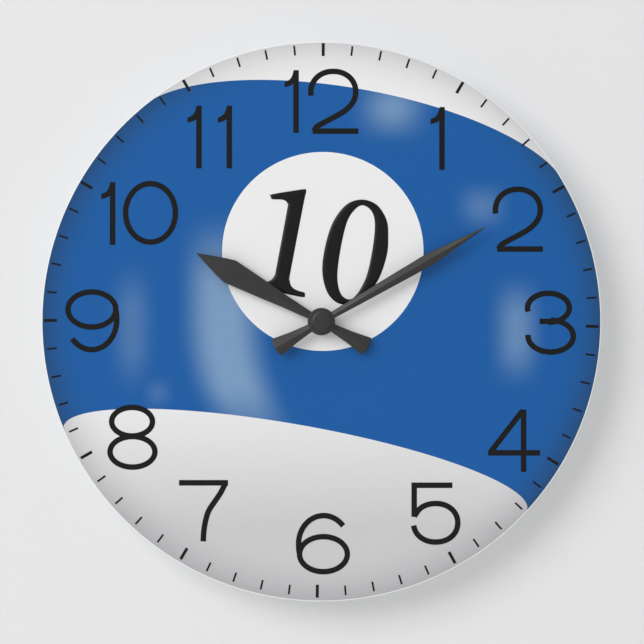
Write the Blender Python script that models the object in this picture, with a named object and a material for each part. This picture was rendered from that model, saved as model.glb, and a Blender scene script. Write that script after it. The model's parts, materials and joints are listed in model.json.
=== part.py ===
"""Round wall clock with a printed face, two hands and a standard quartz movement.

Every piece is drawn as it is seen from the front of the clock: x to the right, y up, and z the
height off the wall. stand() then turns the drawing upright, so in the world +X is to the right,
+Z is up, the wall is the plane y = 0 and the face looks towards -Y. Angles are clock angles:
clockwise from twelve o'clock. Sizes are in metres, written as millimetres times MM.
"""
from math import atan2, cos, pi, radians, sin

import bmesh
import bpy
from mathutils import Vector

MM = 0.001
FIT = 0.3 * MM                      # clearance between pieces that touch

# Driving dimensions
DISC_DIAMETER = 273.0 * MM
DISC_THICKNESS = 3.0 * MM
MOVEMENT_SIDE = 56.0 * MM
MOVEMENT_DEPTH = 16.0 * MM
WALL = 1.2 * MM                     # plastic wall of the movement
MINUTE_HAND_LENGTH = 92.7 * MM
HOUR_HAND_LENGTH = 69.3 * MM
HAND_TAIL = 26.3 * MM
MINUTE_HAND_ANGLE = 60.0            # degrees at rest
HOUR_HAND_ANGLE = 298.85

# Heights off the wall of the stack on the bushing, from the movement forwards
HANGER_BACK = MOVEMENT_DEPTH + FIT
SHEET = 0.8 * MM
RUBBER_BACK = HANGER_BACK + SHEET + FIT
RUBBER_THICKNESS = 1.0 * MM
DISC_BACK = RUBBER_BACK + RUBBER_THICKNESS + FIT
WASHER_BACK = DISC_BACK + DISC_THICKNESS + FIT
WASHER_THICKNESS = 0.5 * MM
NUT_BACK = WASHER_BACK + WASHER_THICKNESS + FIT
NUT_THICKNESS = 2.2 * MM
BUSHING_END = NUT_BACK + NUT_THICKNESS + FIT
HOUR_HAND_BACK = BUSHING_END + 2 * FIT
HAND_EDGE = 0.4 * MM                # thickness of a hand at its edges
HAND_CROWN = 0.9 * MM               # and along its centre ridge
HOUR_TUBE_END = HOUR_HAND_BACK + 1.5 * MM
MINUTE_HAND_BACK = HOUR_TUBE_END + 2 * FIT
CAP_BACK = MINUTE_HAND_BACK + HAND_CROWN + FIT
CAP_HEIGHT = 3.7 * MM
CAP_ROOF = 0.6 * MM
MINUTE_TUBE_END = CAP_BACK + CAP_HEIGHT - CAP_ROOF - 2 * FIT

# Radii on the hand axis, each FIT clear of the next
ARBOR_RADIUS = 0.5 * MM
MINUTE_BORE = 0.85 * MM
MINUTE_TUBE = 1.6 * MM
HOUR_BORE = 1.95 * MM
HOUR_TUBE = 2.5 * MM
BUSHING_BORE = HOUR_TUBE + FIT
BUSHING_THREAD = 4.0 * MM
BUSHING_SEAT = 4.3 * MM
HOUR_HUB = 6.7 * MM
MINUTE_HUB = 6.6 * MM
CAP_RADIUS = 4.9 * MM

# Inside the movement: the layers' heights off the wall, as (back, front)
FLOOR = MOVEMENT_DEPTH - WALL       # inner face of the front wall
HOUR_LAYER = (13.6 * MM, 14.5 * MM)
MOTION_LAYER = (12.4 * MM, 13.3 * MM)
CLUTCH_LAYER = (11.8 * MM, 12.1 * MM)
CENTRE_LAYER = (10.7 * MM, 11.5 * MM)
FLANGE_LAYER = (10.1 * MM, 10.4 * MM)
PLATE_LAYER = (8.9 * MM, 9.8 * MM)
THIRD_LAYER = (7.8 * MM, 8.6 * MM)
SECONDS_LAYER = (6.6 * MM, 7.4 * MM)
ROTOR_LAYER = (5.4 * MM, 6.2 * MM)
BOARD_LAYER = (3.2 * MM, 4.0 * MM)
BEARING_TOP = 5.0 * MM              # rear bearings on the back cover
PIVOT_BACK = 4.1 * MM               # rear end of the arbors

# Gear train: (teeth, teeth, distance between the axes)
THIRD_DISTANCE = 9.0 * MM
MOTION_DISTANCE = 9.0 * MM
INTERMEDIATE_DISTANCE = 7.92 * MM
ROTOR_DISTANCE = 7.0 * MM
ROTOR_TEETH = 8
INTERMEDIATE_TEETH = 48
INTERMEDIATE_PINION_TEETH = 12
SECONDS_TEETH = 60
SECONDS_PINION_TEETH = 8
THIRD_TEETH = 60
THIRD_PINION_TEETH = 8
CENTRE_TEETH = 64
CANNON_TEETH = 12
MINUTE_TEETH = 36
MINUTE_PINION_TEETH = 10
HOUR_TEETH = 40
SETTING_TEETH = 12

# Battery bay and coil
BAY_TOP = -12.0 * MM
DIVIDER = 1.4 * MM
CAVITY = 26.6 * MM                  # half of the tray's inner width
BATTERY_RADIUS = 7.1 * MM
BATTERY_LENGTH = 50.2 * MM
BATTERY_UP = -19.4 * MM
BATTERY_HEIGHT = 7.4 * MM
COIL_UP = 22.6 * MM
COIL_HEIGHT = 8.1 * MM
KNOB_RADIUS = 6.5 * MM
WELL_RADIUS = 6.9 * MM
WELL_FLOOR = (3.6 * MM, 4.6 * MM)
CONTACT = 0.5 * MM                  # thickness of the contact strips
PILLAR_RADIUS = 1.4 * MM
PILLARS = [(-21.0 * MM, -7.2 * MM), (9.0 * MM, -7.0 * MM), (-21.0 * MM, 17.2 * MM), (18.5 * MM, 16.5 * MM)]


def heading(angle, length=1.0):
    """The point at a clock angle in radians and a distance from the origin."""
    return Vector((sin(angle) * length, cos(angle) * length))


CENTRE = Vector((0.0, 0.0))
THIRD_AXIS = CENTRE + heading(radians(70.0), THIRD_DISTANCE)
INTERMEDIATE_AXIS = CENTRE + heading(radians(-10.0), INTERMEDIATE_DISTANCE)
ROTOR_AXIS = INTERMEDIATE_AXIS + heading(radians(45.0), ROTOR_DISTANCE)
MINUTE_AXIS = CENTRE + heading(radians(-80.0), MOTION_DISTANCE)
SETTING_AXIS = MINUTE_AXIS + heading(radians(-50.0), MOTION_DISTANCE)


# ---------------------------------------------------------------- drawing tools

def arc(centre, radius, start, end, count):
    """Points along an arc between two clock angles in degrees, ends included."""
    steps = [radians(start + (end - start) * i / (count - 1)) for i in range(count)]
    return [Vector(centre) + heading(step, radius) for step in steps]


def circle(centre, radius, count):
    return [Vector(centre) + heading(2 * pi * i / count, radius) for i in range(count)]


def rounded(left, right, low, high, corner, count=5):
    """A rectangle with round corners."""
    points = arc((right - corner, high - corner), corner, 0, 90, count)
    points += arc((right - corner, low + corner), corner, 90, 180, count)
    points += arc((left + corner, low + corner), corner, 180, 270, count)
    points += arc((left + corner, high - corner), corner, 270, 360, count)
    return points


def add_slab(bm, outline, back, front, holes=()):
    """A flat piece of the outline's shape between two heights, with holes through it."""
    edges = []
    for loop in [outline, *holes]:
        verts = [bm.verts.new((point[0], point[1], back)) for point in loop]
        edges += [bm.edges.new((verts[i - 1], verts[i])) for i in range(len(verts))]
    filled = bmesh.ops.triangle_fill(bm, edges=edges, use_beauty=True, normal=(0, 0, 1))
    faces = [item for item in filled["geom"] if isinstance(item, bmesh.types.BMFace)]
    grown = bmesh.ops.extrude_face_region(bm, geom=faces, use_keep_orig=True)
    lifted = [item for item in grown["geom"] if isinstance(item, bmesh.types.BMVert)]
    bmesh.ops.translate(bm, verts=lifted, vec=(0, 0, front - back))
    bmesh.ops.recalc_face_normals(bm, faces=bm.faces)


def add_box(bm, left, right, low, high, back, front):
    add_slab(bm, [(left, low), (right, low), (right, high), (left, high)], back, front)


def add_rod(bm, centre, radius, back, front, count=12):
    add_slab(bm, circle(centre, radius, count), back, front)


def add_turned(bm, profile, count, centre=(0.0, 0.0)):
    """A closed profile of (radius, height) turned about the z axis through the centre."""
    verts = [bm.verts.new((radius, 0.0, height)) for radius, height in profile]
    edges = [bm.edges.new((verts[i - 1], verts[i])) for i in range(len(verts))]
    edges = [edge for edge in edges if max(vert.co.x for vert in edge.verts) > 0.0]
    bmesh.ops.spin(bm, geom=verts + edges, axis=(0, 0, 1), cent=(0, 0, 0),
                   steps=count, angle=2 * pi, use_merge=True)
    loose = [edge for edge in bm.edges if not edge.link_faces]
    bmesh.ops.delete(bm, geom=loose, context="EDGES")
    bmesh.ops.remove_doubles(bm, verts=bm.verts, dist=1e-7)
    bmesh.ops.recalc_face_normals(bm, faces=bm.faces)
    bmesh.ops.translate(bm, verts=bm.verts, vec=(centre[0], centre[1], 0.0))


def add_blade(bm, stations, back):
    """A hand's long leaf: a low roof between (along, half width) stations."""
    rings = []
    for along, half in stations:
        section = [(-half, back), (half, back), (half, back + HAND_EDGE),
                   (0.0, back + HAND_CROWN), (-half, back + HAND_EDGE)]
        rings.append([bm.verts.new((across, along, height)) for across, height in section])
    for lower, upper in zip(rings, rings[1:]):
        for i in range(len(lower)):
            bm.faces.new((lower[i - 1], lower[i], upper[i], upper[i - 1]))
    bm.faces.new(rings[0])
    bm.faces.new(rings[-1])
    bmesh.ops.recalc_face_normals(bm, faces=bm.faces)


def gear_outline(teeth, module, turn=0.0):
    """A toothed outline with one tooth centred on the clock angle turn, in radians."""
    pitch = 2 * pi / teeth
    radius = teeth * module / 2
    root = radius - 1.15 * module
    tip = radius + 0.8 * module
    root_half = pitch * (0.27 if teeth > 20 else 0.24)
    tip_half = pitch * 0.10
    points = []
    for tooth in range(teeth):
        middle = turn + tooth * pitch
        points += [heading(middle - root_half, root), heading(middle - tip_half, tip)]
        points += [heading(middle + tip_half, tip), heading(middle + root_half, root)]
    return points


def meshed(from_axis, to_axis, turn, teeth, other_teeth):
    """The turn that puts a gap of the second gear round the facing tooth of the first."""
    step = to_axis - from_axis
    towards = atan2(step.x, step.y)
    pitch = 2 * pi / teeth
    other_pitch = 2 * pi / other_teeth
    along = (towards - turn) / pitch
    return towards + pi - other_pitch * (0.5 - along)


# ---------------------------------------------------------------- object tools

def finish(name, colour, roughness, metallic):
    material = bpy.data.materials.new(name)
    material.use_nodes = True
    shader = material.node_tree.nodes["Principled BSDF"]
    shader.inputs["Base Color"].default_value = (*colour, 1.0)
    shader.inputs["Roughness"].default_value = roughness
    shader.inputs["Metallic"].default_value = metallic
    material.diffuse_color = (*colour, 1.0)
    return material


FINISHES = {
    "acrylic": ((0.86, 0.87, 0.88), 0.12, 0.0),
    "dark_metal": ((0.045, 0.045, 0.043), 0.35, 0.6),
    "brass": ((0.72, 0.53, 0.24), 0.3, 1.0),
    "steel": ((0.6, 0.6, 0.6), 0.35, 1.0),
    "rubber": ((0.03, 0.03, 0.03), 0.8, 0.0),
    "case_plastic": ((0.025, 0.025, 0.027), 0.45, 0.0),
    "gear_plastic": ((0.85, 0.85, 0.82), 0.4, 0.0),
    "copper": ((0.62, 0.28, 0.13), 0.3, 1.0),
    "board": ((0.05, 0.22, 0.1), 0.5, 0.0),
    "resin": ((0.02, 0.02, 0.02), 0.3, 0.0),
    "magnet": ((0.25, 0.25, 0.27), 0.4, 0.8),
    "battery_sleeve": ((0.1, 0.16, 0.3), 0.35, 0.2),
}


def make(name, bm, look, smooth=35.0):
    """Turn a finished bmesh into a named piece with its own material."""
    mesh = bpy.data.meshes.new(name)
    bm.to_mesh(mesh)
    bm.free()
    mesh.materials.append(finish(name + "_finish", *FINISHES[look]))
    mesh.shade_smooth()
    mesh.set_sharp_from_angle(angle=radians(smooth))
    piece = bpy.data.objects.new(name, mesh)
    bpy.context.scene.collection.objects.link(piece)
    return piece


def shape(piece, operation, bm):
    """Join a shape to the piece (UNION) or take it away (DIFFERENCE)."""
    guide = bpy.data.objects.new(piece.name + "_guide", bpy.data.meshes.new(piece.name + "_guide"))
    bm.to_mesh(guide.data)
    bm.free()
    bpy.context.scene.collection.objects.link(guide)
    guide.parent = piece
    guide.display_type = "WIRE"
    guide.hide_render = True
    modifier = piece.modifiers.new(operation.lower(), "BOOLEAN")
    modifier.operation = operation
    modifier.solver = "EXACT"
    modifier.object = guide


def stand(piece, axis=CENTRE, turn=0.0):
    """Turn the front-view drawing upright, with its origin on an axis; turn is in radians."""
    piece.location = (axis[0], 0.0, axis[1])
    piece.rotation_euler = (pi / 2, turn, 0.0)


def lie_along_x(piece, x, up, height):
    """Lay a turned piece down with its own z axis pointing right."""
    piece.location = (x, -height, up)
    piece.rotation_euler = (0.0, pi / 2, 0.0)


def compound_wheel(name, wheel, pinion, arbor, look="gear_plastic"):
    """A wheel and its pinion on one arbor; each gear is (teeth, module, (back, front))."""
    bm = bmesh.new()
    teeth, module, (back, front) = wheel
    add_slab(bm, gear_outline(teeth, module), back, front)
    piece = make(name, bm, look)
    joined = bmesh.new()
    teeth, module, (back, front) = pinion
    add_slab(joined, gear_outline(teeth, module), back, front)
    shape(piece, "UNION", joined)
    rod = bmesh.new()
    add_rod(rod, CENTRE, ARBOR_RADIUS, *arbor)
    shape(piece, "UNION", rod)
    return piece


# ---------------------------------------------------------------- face, hands and fixings

def make_dial_disc():
    bm = bmesh.new()
    hole = circle(CENTRE, BUSHING_THREAD + FIT, 24)
    add_slab(bm, circle(CENTRE, DISC_DIAMETER / 2, 128), DISC_BACK, DISC_BACK + DISC_THICKNESS, [hole])
    stand(make("dial_disc", bm, "acrylic"))


def make_ring(name, look, outer, back, thickness, count=32):
    """A washer round the threaded bushing."""
    bm = bmesh.new()
    hole = circle(CENTRE, BUSHING_THREAD + FIT, count)
    add_slab(bm, circle(CENTRE, outer, count), back, back + thickness, [hole])
    stand(make(name, bm, look))


def make_hand(name, stations, hub_radius, bore, back, angle):
    bm = bmesh.new()
    add_blade(bm, stations, back)
    hand = make(name, bm, "dark_metal", smooth=15.0)
    hub = bmesh.new()
    add_slab(hub, circle(CENTRE, hub_radius, 32), back, back + HAND_CROWN)
    shape(hand, "UNION", hub)
    hole = bmesh.new()
    add_rod(hole, CENTRE, bore, back - MM, back + HAND_CROWN + MM, 20)
    shape(hand, "DIFFERENCE", hole)
    stand(hand, turn=radians(angle))


def hand_stations(length, shoulder, shoulder_half, neck_half):
    """Tail, neck, shoulder and tip of a hand, as (along, half width); the tail is a round-ended fan."""
    end_radius = 10.4 * MM
    end_centre = end_radius - HAND_TAIL
    stations = []
    for half in (0.5 * MM, 2.0 * MM, 3.5 * MM, 4.6 * MM):
        stations.append((end_centre - (end_radius ** 2 - half ** 2) ** 0.5, half))
    stations += [(-24.6 * MM, 4.6 * MM), (-15.6 * MM, 2.85 * MM), (-7.0 * MM, 2.0 * MM)]
    return stations + [(7.0 * MM, neck_half), (shoulder, shoulder_half), (length, 0.15 * MM)]


def make_cap_nut():
    """A round closed nut with a stepped crown, hollow at the back for the minute tube."""
    top = CAP_BACK + CAP_HEIGHT
    inside = top - CAP_ROOF
    bore = MINUTE_TUBE + FIT
    bm = bmesh.new()
    profile = [(0.0, top), (CAP_RADIUS - 1.0 * MM, top), (CAP_RADIUS - 0.3 * MM, top - 0.4 * MM)]
    profile += [(CAP_RADIUS, top - 1.1 * MM), (CAP_RADIUS, CAP_BACK), (bore, CAP_BACK)]
    profile += [(bore, inside), (0.0, inside)]
    add_turned(bm, profile, 32)
    stand(make("cap_nut", bm, "dark_metal"))


def make_hex_nut():
    across_flats = 11.0 * MM
    corner = across_flats / 2 / cos(radians(30.0))
    bm = bmesh.new()
    hole = circle(CENTRE, BUSHING_THREAD + FIT, 24)
    add_slab(bm, circle(CENTRE, corner, 6), NUT_BACK, NUT_BACK + NUT_THICKNESS, [hole])
    stand(make("hex_nut", bm, "brass"))


def make_hanger_bracket():
    """Sheet-steel strap: ring on the bushing, up over the movement, back, and up to the nail hole."""
    half_width = 6.0 * MM
    bend_up = MOVEMENT_SIDE / 2 + 0.7 * MM
    wall_face = 0.4 * MM
    top = 44.0 * MM
    bm = bmesh.new()
    add_box(bm, -half_width, half_width, 0.0, bend_up + SHEET, HANGER_BACK, HANGER_BACK + SHEET)
    bracket = make("hanger_bracket", bm, "steel")
    riser = bmesh.new()
    add_box(riser, -half_width, half_width, bend_up, bend_up + SHEET, wall_face, HANGER_BACK + SHEET / 2)
    shape(bracket, "UNION", riser)
    tab = bmesh.new()
    outline = rounded(-half_width, half_width, bend_up + SHEET / 2, top, 3.0 * MM)
    add_slab(tab, outline, wall_face, wall_face + SHEET)
    shape(bracket, "UNION", tab)
    ring = bmesh.new()
    add_slab(ring, circle(CENTRE, 9.0 * MM, 32), HANGER_BACK, HANGER_BACK + SHEET)
    shape(bracket, "UNION", ring)
    holes = bmesh.new()
    add_rod(holes, CENTRE, BUSHING_THREAD + FIT, HANGER_BACK - MM, HANGER_BACK + 2 * MM, 24)
    keyhole = arc((0.0, 36.0 * MM), 3.6 * MM, 30, 330, 17)
    keyhole += arc((0.0, 40.0 * MM), 1.8 * MM, 270, 450, 7)
    add_slab(holes, keyhole, wall_face - MM, wall_face + 2 * MM)
    shape(bracket, "DIFFERENCE", holes)
    stand(bracket)


def make_threaded_bushing():
    """Brass tube, seated in the movement's front wall and threaded for the nut."""
    seat_back = FLOOR + FIT
    bm = bmesh.new()
    chamfer = 0.4 * MM
    profile = [(BUSHING_BORE, seat_back), (BUSHING_BORE, BUSHING_END)]
    profile += [(BUSHING_THREAD - chamfer, BUSHING_END), (BUSHING_THREAD, BUSHING_END - chamfer)]
    profile += [(BUSHING_THREAD, MOVEMENT_DEPTH)]
    profile += [(BUSHING_SEAT, MOVEMENT_DEPTH), (BUSHING_SEAT, seat_back)]
    add_turned(bm, profile, 24)
    stand(make("threaded_bushing", bm, "brass"))


# ---------------------------------------------------------------- movement: plastic shells

def tray_outline(clearance):
    """The gear side of the tray, inset by a clearance."""
    low = BAY_TOP + DIVIDER + clearance
    return rounded(-CAVITY + clearance, CAVITY - clearance, low, CAVITY - clearance, 2.0 * MM, 4)


def make_front_case():
    """Open tray: gear side above the divider, battery bay below it."""
    half = MOVEMENT_SIDE / 2
    bm = bmesh.new()
    add_slab(bm, rounded(-half, half, -half, half, 3.0 * MM, 6), 0.0, MOVEMENT_DEPTH)
    tray = make("front_case", bm, "case_plastic")
    rooms = bmesh.new()
    add_slab(rooms, tray_outline(0.0), -MM, FLOOR)
    add_slab(rooms, rounded(-CAVITY, CAVITY, -26.8 * MM, BAY_TOP, 1.0 * MM, 3), -MM, FLOOR)
    shape(tray, "DIFFERENCE", rooms)
    posts = bmesh.new()
    add_rod(posts, MINUTE_AXIS, 0.9 * MM, MOTION_LAYER[0] - FIT, FLOOR + 0.5 * MM)
    add_rod(posts, THIRD_AXIS, 1.15 * MM, MOTION_LAYER[0] - FIT, FLOOR + 0.5 * MM)
    add_rod(posts, SETTING_AXIS, 1.6 * MM, MOTION_LAYER[1] + 0.4 * MM, FLOOR + 0.5 * MM)
    for pillar in PILLARS:
        add_rod(posts, pillar, PILLAR_RADIUS, PLATE_LAYER[1] + FIT, FLOOR + 0.5 * MM)
    shape(tray, "UNION", posts)
    openings = bmesh.new()
    add_rod(openings, CENTRE, BUSHING_SEAT + FIT, FLOOR - MM, MOVEMENT_DEPTH + MM, 24)
    add_rod(openings, THIRD_AXIS, ARBOR_RADIUS + 0.25 * MM, MOTION_LAYER[0] - MM, FLOOR - 0.4 * MM, 8)
    add_rod(openings, SETTING_AXIS, ARBOR_RADIUS + FIT, MOTION_LAYER[1], FLOOR - 0.2 * MM, 8)
    for side in (-1, 1):
        outer = sorted((side * 25.0 * MM, side * (CAVITY - 0.01 * MM)))
        add_box(openings, *outer, BAY_TOP - 1.5 * MM, BAY_TOP + DIVIDER + 2.2 * MM, -MM, 5.4 * MM)
        window = sorted((side * (CAVITY - MM), side * (half + MM)))
        add_box(openings, *window, 6.0 * MM, 12.0 * MM, 3.0 * MM, 6.0 * MM)
    add_box(openings, -9.0 * MM, 9.0 * MM, -half - MM, -26.0 * MM, -MM, 5.0 * MM)
    shape(tray, "DIFFERENCE", openings)
    stand(tray)


def make_back_cover():
    """Lid over the gears: knob well, rear bearings, plate pillars and two snap arms."""
    bm = bmesh.new()
    add_slab(bm, tray_outline(FIT), 0.0, WALL)
    cover = make("back_cover", bm, "case_plastic")
    lugs = bmesh.new()
    add_rod(lugs, SETTING_AXIS, WELL_RADIUS + MM, WALL / 2, WELL_FLOOR[1], 32)
    for axis in (CENTRE, THIRD_AXIS, INTERMEDIATE_AXIS, ROTOR_AXIS):
        add_rod(lugs, axis, 1.6 * MM, WALL / 2, BEARING_TOP)
    for pillar in PILLARS:
        add_rod(lugs, pillar, PILLAR_RADIUS, WALL / 2, PLATE_LAYER[0] - FIT)
    for side in (-1, 1):
        arm = sorted((side * 25.1 * MM, side * 26.2 * MM))
        add_box(lugs, *arm, 7.0 * MM, 11.0 * MM, WALL / 2, 5.6 * MM)
    shape(cover, "UNION", lugs)
    barbs = bmesh.new()
    for side in (-1, 1):
        barb = sorted((side * 26.0 * MM, side * 27.6 * MM))
        add_box(barbs, *barb, 7.0 * MM, 11.0 * MM, 3.6 * MM, 5.4 * MM)
    shape(cover, "UNION", barbs)
    holes = bmesh.new()
    add_rod(holes, SETTING_AXIS, WELL_RADIUS, -MM, WELL_FLOOR[0], 32)
    for axis in (CENTRE, THIRD_AXIS, INTERMEDIATE_AXIS, ROTOR_AXIS):
        add_rod(holes, axis, ARBOR_RADIUS + FIT, PIVOT_BACK - FIT, BEARING_TOP + MM, 8)
    shape(cover, "DIFFERENCE", holes)
    stem = bmesh.new()
    add_rod(stem, SETTING_AXIS, 1.5 * MM, WELL_FLOOR[0] - MM, WELL_FLOOR[1] + MM, 16)
    shape(cover, "DIFFERENCE", stem)
    stand(cover)


def make_middle_plate():
    outline = rounded(-23.0 * MM, 20.5 * MM, -9.6 * MM, 18.6 * MM, 3.0 * MM)
    holes = [circle(axis, ARBOR_RADIUS + FIT, 10) for axis in (CENTRE, INTERMEDIATE_AXIS, ROTOR_AXIS)]
    holes += [circle(THIRD_AXIS, 1.7 * MM, 12), circle(SETTING_AXIS, 1.5 * MM, 12)]
    bm = bmesh.new()
    add_slab(bm, outline, *PLATE_LAYER, holes)
    stand(make("middle_plate", bm, "gear_plastic"))


# ---------------------------------------------------------------- movement: gears

def module_of(teeth, other_teeth, distance):
    return 2 * distance / (teeth + other_teeth)


ROTOR_MODULE = module_of(ROTOR_TEETH, INTERMEDIATE_TEETH, ROTOR_DISTANCE)
SECONDS_MODULE = module_of(INTERMEDIATE_PINION_TEETH, SECONDS_TEETH, INTERMEDIATE_DISTANCE)
THIRD_MODULE = module_of(SECONDS_PINION_TEETH, THIRD_TEETH, THIRD_DISTANCE)
CENTRE_MODULE = module_of(THIRD_PINION_TEETH, CENTRE_TEETH, THIRD_DISTANCE)
MOTION_MODULE = module_of(CANNON_TEETH, MINUTE_TEETH, MOTION_DISTANCE)
HOUR_MODULE = module_of(MINUTE_PINION_TEETH, HOUR_TEETH, MOTION_DISTANCE)


def make_time_train():
    """Rotor, intermediate, seconds, third and centre wheels, each in mesh with the next."""
    seconds_turn = 0.0
    third_turn = meshed(CENTRE, THIRD_AXIS, seconds_turn, SECONDS_PINION_TEETH, THIRD_TEETH)
    centre_turn = meshed(THIRD_AXIS, CENTRE, third_turn, THIRD_PINION_TEETH, CENTRE_TEETH)
    inter_turn = meshed(CENTRE, INTERMEDIATE_AXIS, seconds_turn, SECONDS_TEETH, INTERMEDIATE_PINION_TEETH)
    rotor_turn = meshed(INTERMEDIATE_AXIS, ROTOR_AXIS, inter_turn, INTERMEDIATE_TEETH, ROTOR_TEETH)

    wheel = (SECONDS_TEETH, SECONDS_MODULE, SECONDS_LAYER)
    pinion = (SECONDS_PINION_TEETH, THIRD_MODULE, (SECONDS_LAYER[1] - FIT, THIRD_LAYER[1]))
    seconds = compound_wheel("seconds_wheel", wheel, pinion, (PIVOT_BACK, MINUTE_TUBE_END))
    stand(seconds, turn=seconds_turn)

    wheel = (THIRD_TEETH, THIRD_MODULE, THIRD_LAYER)
    pinion = (THIRD_PINION_TEETH, CENTRE_MODULE, (THIRD_LAYER[1] - FIT, CENTRE_LAYER[1]))
    third = compound_wheel("third_wheel", wheel, pinion, (PIVOT_BACK, MOTION_LAYER[1]))
    stand(third, THIRD_AXIS, third_turn)

    wheel = (INTERMEDIATE_TEETH, ROTOR_MODULE, ROTOR_LAYER)
    pinion = (INTERMEDIATE_PINION_TEETH, SECONDS_MODULE, (ROTOR_LAYER[1] - FIT, SECONDS_LAYER[1]))
    intermediate = compound_wheel("intermediate_wheel", wheel, pinion, (PIVOT_BACK, PLATE_LAYER[1]))
    stand(intermediate, INTERMEDIATE_AXIS, inter_turn)

    bm = bmesh.new()
    hole = circle(CENTRE, MINUTE_TUBE + FIT, 16)
    add_slab(bm, gear_outline(CENTRE_TEETH, CENTRE_MODULE), *CENTRE_LAYER, [hole])
    stand(make("centre_wheel", bm, "gear_plastic"), turn=centre_turn)

    bm = bmesh.new()
    add_slab(bm, gear_outline(ROTOR_TEETH, ROTOR_MODULE), *ROTOR_LAYER)
    rotor = make("rotor_pinion", bm, "gear_plastic")
    rod = bmesh.new()
    add_rod(rod, CENTRE, ARBOR_RADIUS, PIVOT_BACK, PLATE_LAYER[1])
    shape(rotor, "UNION", rod)
    stand(rotor, ROTOR_AXIS, rotor_turn)

    bm = bmesh.new()
    hole = circle(CENTRE, ARBOR_RADIUS + FIT, 12)
    add_slab(bm, circle(CENTRE, 2.2 * MM, 24), ROTOR_LAYER[1] + FIT, THIRD_LAYER[0] + 0.3 * MM, [hole])
    stand(make("rotor_magnet", bm, "magnet"), ROTOR_AXIS, rotor_turn)


def make_motion_work():
    """Minute arbor, its clutch, the minute and hour wheels, and the setting stem and knob."""
    cannon_turn = radians(MINUTE_HAND_ANGLE)
    minute_turn = meshed(CENTRE, MINUTE_AXIS, cannon_turn, CANNON_TEETH, MINUTE_TEETH)
    hour_turn = meshed(MINUTE_AXIS, CENTRE, minute_turn, MINUTE_PINION_TEETH, HOUR_TEETH)
    setting_turn = meshed(MINUTE_AXIS, SETTING_AXIS, minute_turn, MINUTE_TEETH, SETTING_TEETH)
    between = (MINUTE_BORE + MINUTE_TUBE) / 2

    bm = bmesh.new()
    back, front = FLANGE_LAYER
    profile = [(MINUTE_BORE, back), (MINUTE_BORE, MINUTE_TUBE_END), (MINUTE_TUBE, MINUTE_TUBE_END)]
    profile += [(MINUTE_TUBE, front), (2.6 * MM, front), (2.6 * MM, back)]
    add_turned(bm, profile, 20)
    arbor = make("minute_arbor", bm, "brass")
    teeth = bmesh.new()
    add_slab(teeth, gear_outline(CANNON_TEETH, MOTION_MODULE), *MOTION_LAYER, [circle(CENTRE, between, 16)])
    shape(arbor, "UNION", teeth)
    stand(arbor, turn=cannon_turn)

    bm = bmesh.new()
    back, front = CLUTCH_LAYER
    inner = MINUTE_TUBE + FIT
    dish = 0.15 * MM
    profile = [(inner, front - dish), (inner, front), (3.3 * MM, front - dish), (3.3 * MM, back)]
    add_turned(bm, profile, 20)
    stand(make("clutch_spring", bm, "steel"), turn=cannon_turn)

    bm = bmesh.new()
    post_hole = [circle(CENTRE, 0.9 * MM + FIT, 12)]
    add_slab(bm, gear_outline(MINUTE_TEETH, MOTION_MODULE), *MOTION_LAYER, post_hole)
    minute = make("minute_wheel", bm, "gear_plastic")
    pinion = bmesh.new()
    teeth = gear_outline(MINUTE_PINION_TEETH, HOUR_MODULE)
    add_slab(pinion, teeth, MOTION_LAYER[1] - FIT, HOUR_LAYER[1], post_hole)
    shape(minute, "UNION", pinion)
    stand(minute, MINUTE_AXIS, minute_turn)

    bm = bmesh.new()
    back = HOUR_LAYER[0]
    profile = [(HOUR_BORE, back), (HOUR_BORE, HOUR_TUBE_END), (HOUR_TUBE, HOUR_TUBE_END), (HOUR_TUBE, back)]
    add_turned(bm, profile, 20)
    hour = make("hour_wheel", bm, "gear_plastic")
    teeth = bmesh.new()
    ring = circle(CENTRE, (HOUR_BORE + HOUR_TUBE) / 2, 16)
    add_slab(teeth, gear_outline(HOUR_TEETH, HOUR_MODULE), *HOUR_LAYER, [ring])
    shape(hour, "UNION", teeth)
    stand(hour, turn=hour_turn)

    bm = bmesh.new()
    add_slab(bm, gear_outline(SETTING_TEETH, MOTION_MODULE), *MOTION_LAYER)
    stem = make("setting_pinion", bm, "gear_plastic")
    rod = bmesh.new()
    profile = [(0.0, 2.1 * MM), (1.1 * MM, 2.1 * MM), (1.1 * MM, MOTION_LAYER[1] + 0.1 * MM)]
    pivot_end = FLOOR - 0.5 * MM
    profile += [(ARBOR_RADIUS, MOTION_LAYER[1] + 0.1 * MM), (ARBOR_RADIUS, pivot_end), (0.0, pivot_end)]
    add_turned(rod, profile, 12)
    shape(stem, "UNION", rod)
    stand(stem, SETTING_AXIS, setting_turn)

    bm = bmesh.new()
    ridges = 24
    grip = []
    for ridge in range(ridges):
        middle = 2 * pi * ridge / ridges
        grip += [heading(middle, KNOB_RADIUS), heading(middle + pi / ridges, KNOB_RADIUS - 0.5 * MM)]
    add_slab(bm, grip, 0.4 * MM, WELL_FLOOR[0] - FIT)
    knob = make("setting_knob", bm, "case_plastic")
    socket = bmesh.new()
    add_rod(socket, CENTRE, 1.1 * MM + FIT, 1.8 * MM, WELL_FLOOR[0] + MM, 16)
    shape(knob, "DIFFERENCE", socket)
    slot = bmesh.new()
    add_box(slot, -0.8 * MM, 0.8 * MM, -4.6 * MM, 4.6 * MM, -MM, 1.2 * MM)
    shape(knob, "DIFFERENCE", slot)
    stand(knob, SETTING_AXIS, setting_turn)


# ---------------------------------------------------------------- movement: motor and battery

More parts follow.
